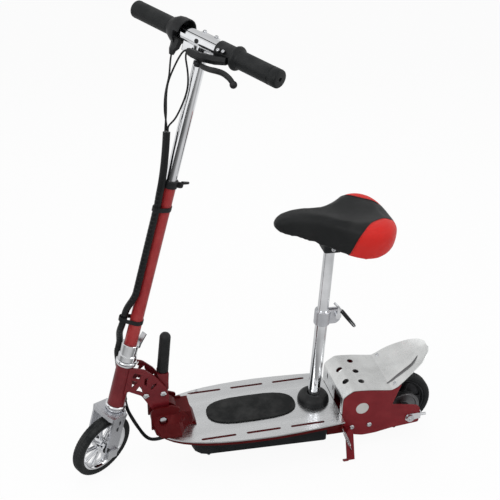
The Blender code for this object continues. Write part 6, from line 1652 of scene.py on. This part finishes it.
@dataclass
class SeatUnit:
    """Seat dome, chrome tubes, quick-release collar, and the padded two-colour saddle."""

    shop: Workshop
    tube_radius: float = 0.0127
    post_radius: float = 0.0111
    dome: Pair = (0.034, 0.020)
    tube_top: float = 0.229
    post_foot: float = 0.095
    neck: float = 0.369
    base: float = 0.472
    voxel: float = 0.0042
    swell: float = 0.0016
    soft_from: Pair = (0.030, 0.020)
    piping: float = 0.0009
    stitch: tuple[float, float, float] = (0.0002, 0.00036, 0.0002)
    stitch_reach: Pair = (0.0030, 0.0009)
    lever_at: Point = (0.16075, 0.03916, 0.31839)
    lever_y: float = -0.0108
    lever_line: tuple[Pair, ...] = ((0.0050, 0.0128), (0.0200, -0.0060), (0.0365, -0.0265), (0.0390, -0.0297))
    rows: tuple[tuple[float, ...], ...] = (
        (-0.1040, 0.006, 0.0720, 0.000, 0.0640, 0.0650), (-0.0980, 0.013, 0.0790, 0.000, 0.0580, 0.0570),
        (-0.0840, 0.019, 0.0860, 0.000, 0.0520, 0.0500), (-0.0600, 0.024, 0.0890, 0.000, 0.0470, 0.0420),
        (-0.0310, 0.029, 0.0870, 0.000, 0.0400, 0.0310), (-0.0010, 0.040, 0.0810, 0.002, 0.0290, 0.0200),
        (0.0260, 0.060, 0.0760, 0.005, 0.0250, 0.0130), (0.0500, 0.079, 0.0740, 0.008, 0.0250, 0.0090),
        (0.0720, 0.088, 0.0740, 0.009, 0.0250, 0.0100), (0.0930, 0.087, 0.0750, 0.007, 0.0250, 0.0140),
        (0.1120, 0.077, 0.0740, 0.004, 0.0320, 0.0220), (0.1270, 0.056, 0.0690, 0.001, 0.0380, 0.0330),
        (0.1350, 0.026, 0.0610, 0.000, 0.0470, 0.0460))
    seam: tuple[Point, ...] = (
        (0.4898, 0.0567, 0.4916), (0.4930, 0.0662, 0.5108), (0.4982, 0.0701, 0.5274), (0.5031, 0.0707, 0.5368),
        (0.5111, 0.0688, 0.5445), (0.5290, 0.0564, 0.5509), (0.5502, 0.0428, 0.5500), (0.5647, 0.0372, 0.5476),
        (0.5765, 0.0341, 0.5437))
    nose_end: Point = (0.4880, 0.0500, 0.4700)
    tail_end: tuple[Point, ...] = (
        (0.5850, 0.0330, 0.5370), (0.5900, 0.0300, 0.5260), (0.5860, 0.0330, 0.5100), (0.5700, 0.0330, 0.4950))

    def build(self) -> None:
        """Builds the seat's pieces."""
        shop, (edge, rise) = self.shop, self.dome
        bore, top = self.tube_radius + 0.001, self.tube_top
        round_off = [(bore + 0.003 + (edge - bore - 0.003) * math.sin(t), rise * math.cos(t) ** 0.9 + 0.0004)
                     for t in np.linspace(0, np.pi / 2, 20)]
        dome = revolve([(bore, 0.0003), (bore, rise), *round_off, (edge, 0.0003)], 112, True)
        shop.place("seat_dome_form", [dome], PLASTIC, "frame", ["seat_dome"],
                   at=ROOT @ Matrix.Translation((SEAT_X, 0, DECK_TOP)))
        r, inner = self.tube_radius, self.post_radius + 0.0003
        tube = revolve([(inner, top), (r - 0.0004, top), (r, top - 0.0005), (r, 0.001), (inner, 0.001)],
                       128, True)
        shop.place("seat_tube_form", [tube], CHROME, "frame", ["seat_tube"], at=SEAT)
        shop.refined("seat_collar", CAST, 0.0006)
        shop.refined("seat_clamp_lever", CHROME, 0.0006, angle=40)
        self.lever_sleeve()
        self.post()
        self.saddle()

    def lever_sleeve(self) -> None:
        """The black sleeve over the clamp lever's stalk."""
        path = spline([(x, self.lever_y, z) for x, z in self.lever_line], 40)
        share = np.linspace(0, 1, len(path))
        radius = 0.0044 * (1 - 0.10 * share) * np.minimum(1.0, 0.72 + 4.0 * np.minimum(share, 1 - share))
        self.shop.place("seat_lever_sleeve", [sweep(path, radius, 24)], PLASTIC, "seat_clamp",
                        slot="seat_clamp_lever", angle=60,
                        at=Matrix.Translation(self.lever_at) @ SEAT.to_3x3().to_4x4())

    def post(self) -> None:
        """The sliding post and the black clamp block under the saddle with its two bolts."""
        r, foot, top = self.post_radius, self.post_foot, self.neck + 0.004
        post = revolve([(0.0, top), (r, top), (r, foot + 0.001), (r - 0.001, foot), (0.0, foot)], 128)
        self.shop.place("seat_post_form", [post], CHROME, "seat", ["seat_post"], at=SEAT)
        high = span_of("seat_post", SEAT)[1][2]
        clamp = block((-0.017, -0.019, self.neck), (0.019, 0.019, high), 0.0045, 7)
        bolts = [screw_head(0.0050, 0.0030).moved(toward((0.001, s * 0.0188, self.neck + 0.010), (0, s, 0)))
                 for s in (-1, 1)]
        self.shop.place("saddle_clamp_form", [clamp], CASE, "seat", slot="seat_post", at=SEAT)
        self.shop.place("saddle_clamp_bolts", bolts, STEEL, "seat", slot="seat_post", at=SEAT)

    def body(self) -> Shell:
        """The saddle's skin before padding: sections along its length, each a smooth closed curve.

        Returns:
            The closed skin, in the upright scooter's own frame.
        """
        rings = []
        for x, half, top, wing, low, skirt in spline(self.rows, 66):
            tall = top - skirt
            side = [(0.0, top), (0.38 * half, top + wing * 0.4), (0.70 * half, top + wing - tall * 0.03),
                    (0.93 * half, top + wing - tall * 0.16), (half, top + wing * 0.6 - tall * 0.42),
                    (0.95 * half, skirt + tall * 0.28), (0.84 * half, skirt + tall * 0.02),
                    (0.62 * half, low * 0.7 + skirt * 0.3)]
            loop = np.array(side + [(0.0, low)] + [(-y, z) for y, z in reversed(side[1:])])
            fine = catmull(np.vstack([loop[-1:], loop, loop[:2]]), 4)
            rings.append(np.column_stack([np.full(len(fine), SEAT_X + x), fine[:, 0], self.base + fine[:, 1]]))
        return closed(np.array(rings))

    def saddle(self) -> None:
        """Pads the skin with a short cloth simulation, marks the red panels and sews a seam along them."""
        skin = self.body().moved(ROOT)
        piece = mesh_object("saddle_cover", skin.points, skin.faces)
        self.shop.tidy(piece.data, 80)
        remesh = piece.modifiers.new("voxels", "REMESH")
        remesh.mode, remesh.voxel_size = "VOXEL", self.voxel
        relax = piece.modifiers.new("relax", "SMOOTH")
        relax.factor, relax.iterations = 0.5, 6
        bake(piece)
        rest = coords(piece.data)
        self.pad(piece)
        shift = coords(piece.data) - rest
        length = np.linalg.norm(shift, axis=1)[:, None]
        start, fade = self.soft_from
        height = carried(rest, ROOT.inverted())[:, 2:3]
        soft = np.clip((height - (self.base + start)) / fade, 0, 1)
        shift *= np.minimum(1.0, self.swell / np.maximum(length, 1e-9)) * soft
        piece.data.vertices.foreach_set("co", (rest + shift).astype(np.float32).ravel())
        fine = piece.modifiers.new("fine", "SUBSURF")
        fine.levels = fine.render_levels = 1
        bake(piece)
        self.mark_panels(piece.data)
        for polygon in piece.data.polygons:
            polygon.use_smooth = True
        self.shop.dress(piece, LEATHER, "seat", ["saddle"])
        self.sew(piece)

    def pad(self, piece: bpy.types.Object) -> None:
        """Blows the skin up a little under pressure, without gravity, and keeps the result.

        Args:
            piece: the skin.
        """
        cloth = piece.modifiers.new("padding", "CLOTH")
        cloth.settings.quality = 6
        cloth.settings.use_pressure = True
        cloth.settings.uniform_pressure_force = 4.0
        cloth.settings.effector_weights.gravity = 0.0
        cloth.settings.tension_stiffness = cloth.settings.compression_stiffness = 18.0
        cloth.settings.bending_stiffness = 1.2
        cloth.collision_settings.use_collision = False
        scene = bpy.context.scene
        for step in range(1, 21):
            scene.frame_set(step)
        bake(piece)
        scene.frame_set(1)

    def mark_panels(self, mesh: bpy.types.Mesh) -> None:
        """Stores each point's distance from the panels' edge line, more than zero on the red side of it.

        Args:
            mesh: the finished skin, which gets the attribute panel_edge.
        """
        own = carried(coords(mesh), ROOT.inverted())
        ways = coords(mesh, "normal") @ np.array(ROOT.inverted().to_3x3()).T
        far = np.where(own[:, 1:2] < 0, -1.0, 1.0)
        own[:, 1:2] *= far
        ways[:, 1:2] *= far
        line = np.vstack([[self.nose_end], spline(self.seam, 60), self.tail_end])
        best = np.full(len(own), 1e9)
        inside = np.zeros(len(own))
        for a, b in zip(line, line[1:]):
            step = b - a
            share = np.clip((own - a) @ step / (step @ step), 0, 1)
            off = own - a - share[:, None] * step
            gap = np.linalg.norm(off, axis=1)
            side = -np.sign(np.einsum("ij,ij->i", off, np.cross(step, ways)))
            near = gap < best
            best = np.where(near, gap, best)
            inside = np.where(near, gap * side, inside)
        inside = np.minimum(inside, own[:, 0] - self.nose_end[0] + 0.001)
        layer = mesh.attributes.new("panel_edge", "FLOAT", "POINT")
        layer.data.foreach_set("value", inside.astype(np.float32))

    def sew(self, piece: bpy.types.Object) -> None:
        """A piping cord that lies along each panel's edge, with stitches beside it.

        Args:
            piece: the finished saddle cover.
        """
        cords, stitches = [], []
        (out, reach), lift = self.stitch_reach, 0.0001
        for sign in (1, -1):
            path = carried(spline(np.array(self.seam) * [1, sign, 1], 90), ROOT)
            met = [piece.closest_point_on_mesh(Vector(p)) for p in path]
            on, ways = smoothed(np.array([m[1] for m in met]), 3), np.array([m[2] for m in met])
            cords.append(sweep(on + ways * lift, self.piping, 10))
            along = units(np.gradient(on, axis=0))
            beside = on + np.cross(ways, along) * out * sign + ways * lift
            stitches += [sweep(np.array([p - t * reach, p, p + t * reach]), self.stitch, 6)
                         for p, t in zip(beside[3:-3:2], along[3:-3:2])]
        self.shop.place("saddle_piping", cords, CORD, "seat", slot="saddle", angle=60)
        self.shop.place("saddle_stitches", stitches, CORD, "seat", slot="saddle", angle=60)


@dataclass
class SideStand:
    """The red kickstand and its return spring."""

    shop: Workshop

    def build(self) -> None:
        """Builds the stand's pieces."""
        self.shop.refined("stand_leg", PLATE_RED_SHADED, 0.0008)
        self.shop.refined("stand_spring", STEEL, levels=2)


# ---------------------------------------------------------------- studio


@dataclass(frozen=True)
class Card:
    """A flat panel that only reflections see: its middle, its two half sides and its tones along the first."""

    name: str
    middle: Point
    across: Point
    upward: Point
    tones: tuple[Pair, ...] = ((0.0, 0.01), (1.0, 0.01))


@dataclass(frozen=True)
class Lamp:
    """A square soft box aimed at the scooter, which may be left out of reflections."""

    name: str
    place: Point
    size: float
    power: float
    mirrored: bool = False


@dataclass
class Studio:
    """White floor and world, soft lights, pale and dark cards for the chrome, and the camera."""

    position: Point = (-0.43025, -1.59143, 1.25571)
    right: Point = (0.969918, -0.243430, 0.000154)
    up: Point = (0.101858, 0.406416, 0.907993)
    back: Point = (-0.221095, -0.880663, 0.418985)
    lens: float = 69.15
    white_share: float = 0.94
    fill: float = 0.45
    floor_half: float = 30.0
    carpet_half: float = 2.6
    aim: Point = (0.0, 0.0, 0.4)
    lamps: tuple[Lamp, ...] = (
        Lamp("above", (-0.3, -0.4, 2.6), 2.2, 26.0), Lamp("left", (-2.0, -1.8, 1.7), 1.2, 12.0, True),
        Lamp("right", (1.9, -1.2, 1.6), 1.0, 8.0, True), Lamp("behind", (0.6, 2.2, 1.9), 1.4, 9.0))
    cards: tuple[Card, ...] = (
        Card("left", (-2.2, -0.3, 0.9), (-0.02, 0.17, 0), (0, 0, 1.1)),
        Card("right", (2.1, -1.4, 0.8), (0.08, 0.13, 0), (0, 0, 1.0)),
        Card("front", (0.4, -2.6, 0.35), (1.2, 0, 0), (0, 0, 0.15)),
        Card("back", (0.3, 2.5, 2.1), (3.4, 0, 0), (0, 0, 2.0),
             ((0.0, 0.74), (0.44, 0.70), (0.56, 0.66), (0.68, 0.58), (0.85, 0.66), (1.0, 0.74))),
        Card("ceiling", (0.0, 0.0, 4.2), (4.0, 0, 0), (0, 4.0, 0), ((0.0, 0.80), (0.5, 0.68), (1.0, 0.74))))
    # Painted shadow: the carpet's brightness by distance from its middle, dark near the middle where the
    # scooter's shadow lies on the floor.
    rug: tuple[Pair, ...] = (
        (0.0, 0.20), (0.15, 0.34), (0.26, 0.60), (0.42, 0.66), (0.60, 0.56), (0.80, 0.62), (1.0, 0.50))
    carpet: tuple[Pair, ...] = (
        (0.0, 0.03), (0.05, 0.03), (0.10, 0.045), (0.16, 0.08), (0.19, 0.13), (0.24, 0.22), (0.28, 0.45),
        (0.33, 0.64), (0.38, 0.50), (0.43, 0.42), (0.47, 0.75), (0.55, 0.90), (0.72, 0.90), (0.92, 0.85),
        (0.955, 0.50), (0.985, 0.04), (1.0, 0.03))

    def build(self) -> None:
        """Sets the stage."""
        self.world()
        self.floor()
        self.lights()
        for card in self.cards:
            self.hang(card)
        self.lay_carpet()
        self.camera()
        bpy.context.scene.view_settings.view_transform = "Standard"

    def seen(self, weave: Weave) -> Socket:
        """Masks the camera's, glossy and transmitted rays, which see plain white.

        Args:
            weave: the node tree being built.

        Returns:
            1 for such a ray and 0 for any other.
        """
        path = weave.add("ShaderNodeLightPath").outputs
        first = weave.math("MAXIMUM", path["Is Camera Ray"], path["Is Glossy Ray"])
        return weave.math("MAXIMUM", first, path["Is Transmission Ray"])

    def world(self) -> None:
        """A white backdrop to the eye and to reflections, and a soft grey fill to the rest."""
        world = bpy.data.worlds.new("studio")
        bpy.context.scene.world = world
        weave = Weave.canvas(world)
        fill = weave.add("ShaderNodeBackground", {0: (0.97, 0.98, 1.0, 1.0), 1: self.fill})
        white = weave.add("ShaderNodeBackground", {0: (1.0, 1.0, 1.0, 1.0), 1: 1.0})
        mix = weave.add("ShaderNodeMixShader", {0: self.seen(weave), 1: fill.outputs[0], 2: white.outputs[0]})
        weave.add("ShaderNodeOutputWorld", {0: mix.outputs[0]})

    @staticmethod
    def square(half: float, height: float) -> np.ndarray:
        """The corners of a level square about the origin."""
        return np.array([(a * half, b * half, height) for a, b in ((-1, -1), (1, -1), (1, 1), (-1, 1))])

    def floor(self) -> None:
        """A wide pale floor: mostly plain white to the eye, with enough diffuse to keep the shadow."""
        floor = mesh_object("floor", self.square(self.floor_half, 0.0), [(0, 1, 2, 3)])
        material = bpy.data.materials.new("floor_white")
        weave = Weave.canvas(material)
        matte = weave.add("ShaderNodeBsdfDiffuse", {0: (0.92, 0.92, 0.92, 1.0)})
        white = weave.add("ShaderNodeEmission", {0: (1.0, 1.0, 1.0, 1.0), 1: 1.0})
        share = weave.math("MULTIPLY", self.seen(weave), self.white_share)
        mix = weave.add("ShaderNodeMixShader", {0: share, 1: matte.outputs[0], 2: white.outputs[0]})
        weave.add("ShaderNodeOutputMaterial", {0: mix.outputs[0]})
        floor.data.materials.append(material)

    def lights(self) -> None:
        """Four soft boxes: a large one above, one at each front side and one behind."""
        for lamp in self.lamps:
            light = bpy.data.lights.new(lamp.name, "AREA")
            light.shape, light.size, light.energy = "SQUARE", lamp.size, lamp.power
            holder = linked(lamp.name, light)
            holder.location = lamp.place
            holder.rotation_euler = (Vector(self.aim) - Vector(lamp.place)).to_track_quat("-Z", "Y").to_euler()
            holder.visible_glossy = lamp.mirrored

    @staticmethod
    def ramp(weave: Weave, value: Socket, tones: Sequence[Pair]) -> Socket:
        """Turns a value from 0 to 1 into a brightness by soft steps.

        Args:
            weave: the node tree being built.
            value: the value.
            tones: place and brightness of each step.

        Returns:
            The brightness.
        """
        node = weave.add("ShaderNodeValToRGB", {0: value})
        steps = node.color_ramp.elements
        while len(steps) < len(tones):
            steps.new(0.5)
        for step, (place, tone) in zip(steps, tones):
            step.position, step.color = place, (tone, tone, tone, 1.0)
        return node.outputs[0]

    @staticmethod
    def screen(material: bpy.types.Material, points: np.ndarray, weave: Weave, tone: Socket) -> None:
        """Sets up a glowing panel that only reflections see.

        Args:
            material: its material, whose name the panel takes.
            points: its four corners.
            weave: the material's node tree.
            tone: its brightness.
        """
        glow = weave.add("ShaderNodeEmission", {0: tone, 1: 1.0})
        weave.add("ShaderNodeOutputMaterial", {0: glow.outputs[0]})
        panel = mesh_object(material.name, points, [(0, 1, 2, 3)])
        panel.data.materials.append(material)
        panel.visible_camera = panel.visible_diffuse = panel.visible_shadow = False
        panel.visible_transmission = panel.visible_volume_scatter = False

    def hang(self, card: Card) -> None:
        """Hangs one card, whose brightness runs along its width.

        Args:
            card: the card.
        """
        material = bpy.data.materials.new("card_" + card.name)
        weave = Weave.canvas(material)
        middle, across, upward = (np.array(v) for v in (card.middle, card.across, card.upward))
        place = weave.add("ShaderNodeTexCoord").outputs["Object"]
        off = weave.add("ShaderNodeVectorMath", {0: place, 1: card.middle}, operation="SUBTRACT")
        part = weave.add("ShaderNodeVectorMath", {0: off.outputs[0], 1: card.across}, operation="DOT_PRODUCT")
        reach = float(across @ across)
        share = weave.span(part.outputs["Value"], 0.0, 1.0, -reach, reach)
        points = [middle + a * across + b * upward for a, b in ((-1, -1), (1, -1), (1, 1), (-1, 1))]
        self.screen(material, np.array(points), weave, self.ramp(weave, share, card.tones))

    def lay_carpet(self) -> None:
        """Lays a panel just over the floor: dark at the very middle as a painted shadow of the scooter, pale
        rings round it, and further out a brightness that goes round the middle by soft steps, which draws the
        long lines in the chrome tubes."""
        material = bpy.data.materials.new("carpet")
        weave = Weave.canvas(material)
        place = weave.add("ShaderNodeTexCoord").outputs["Object"]
        turn = weave.add("ShaderNodeTexGradient", {0: place}, gradient_type="RADIAL")
        tone = self.ramp(weave, turn.outputs["Fac"], self.carpet)
        away = weave.add("ShaderNodeVectorMath", {0: place}, operation="LENGTH").outputs["Value"]
        rug = self.ramp(weave, weave.span(away, 0.0, 1.0, 0.0, 1.3), self.rug)
        far = weave.span(away, 0.0, 1.0, 0.85, 1.25)
        self.screen(material, self.square(self.carpet_half, 0.001), weave, weave.blend(far, rug, tone))

    def camera(self) -> None:
        """The camera, fitted to the photograph's view."""
        data = bpy.data.cameras.new("camera")
        data.lens, data.sensor_width = self.lens, 36.0
        data.clip_start, data.clip_end = 0.05, 100.0
        camera = linked("camera", data)
        turn = Matrix((self.right, self.up, self.back)).transposed().to_4x4()
        camera.matrix_world = Matrix.Translation(self.position) @ turn
        bpy.context.scene.camera = camera


def main() -> None:
    """Builds the dressed scooter."""
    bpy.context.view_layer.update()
    shop = Workshop()
    for part in (Wheels, Column, Bars, FoldingHead, Deck, Tail, SeatUnit, SideStand):
        LOG.info("building %s", part.__name__)
        part(shop).build()
    Studio().build()


if __name__ == "__main__":
    main()
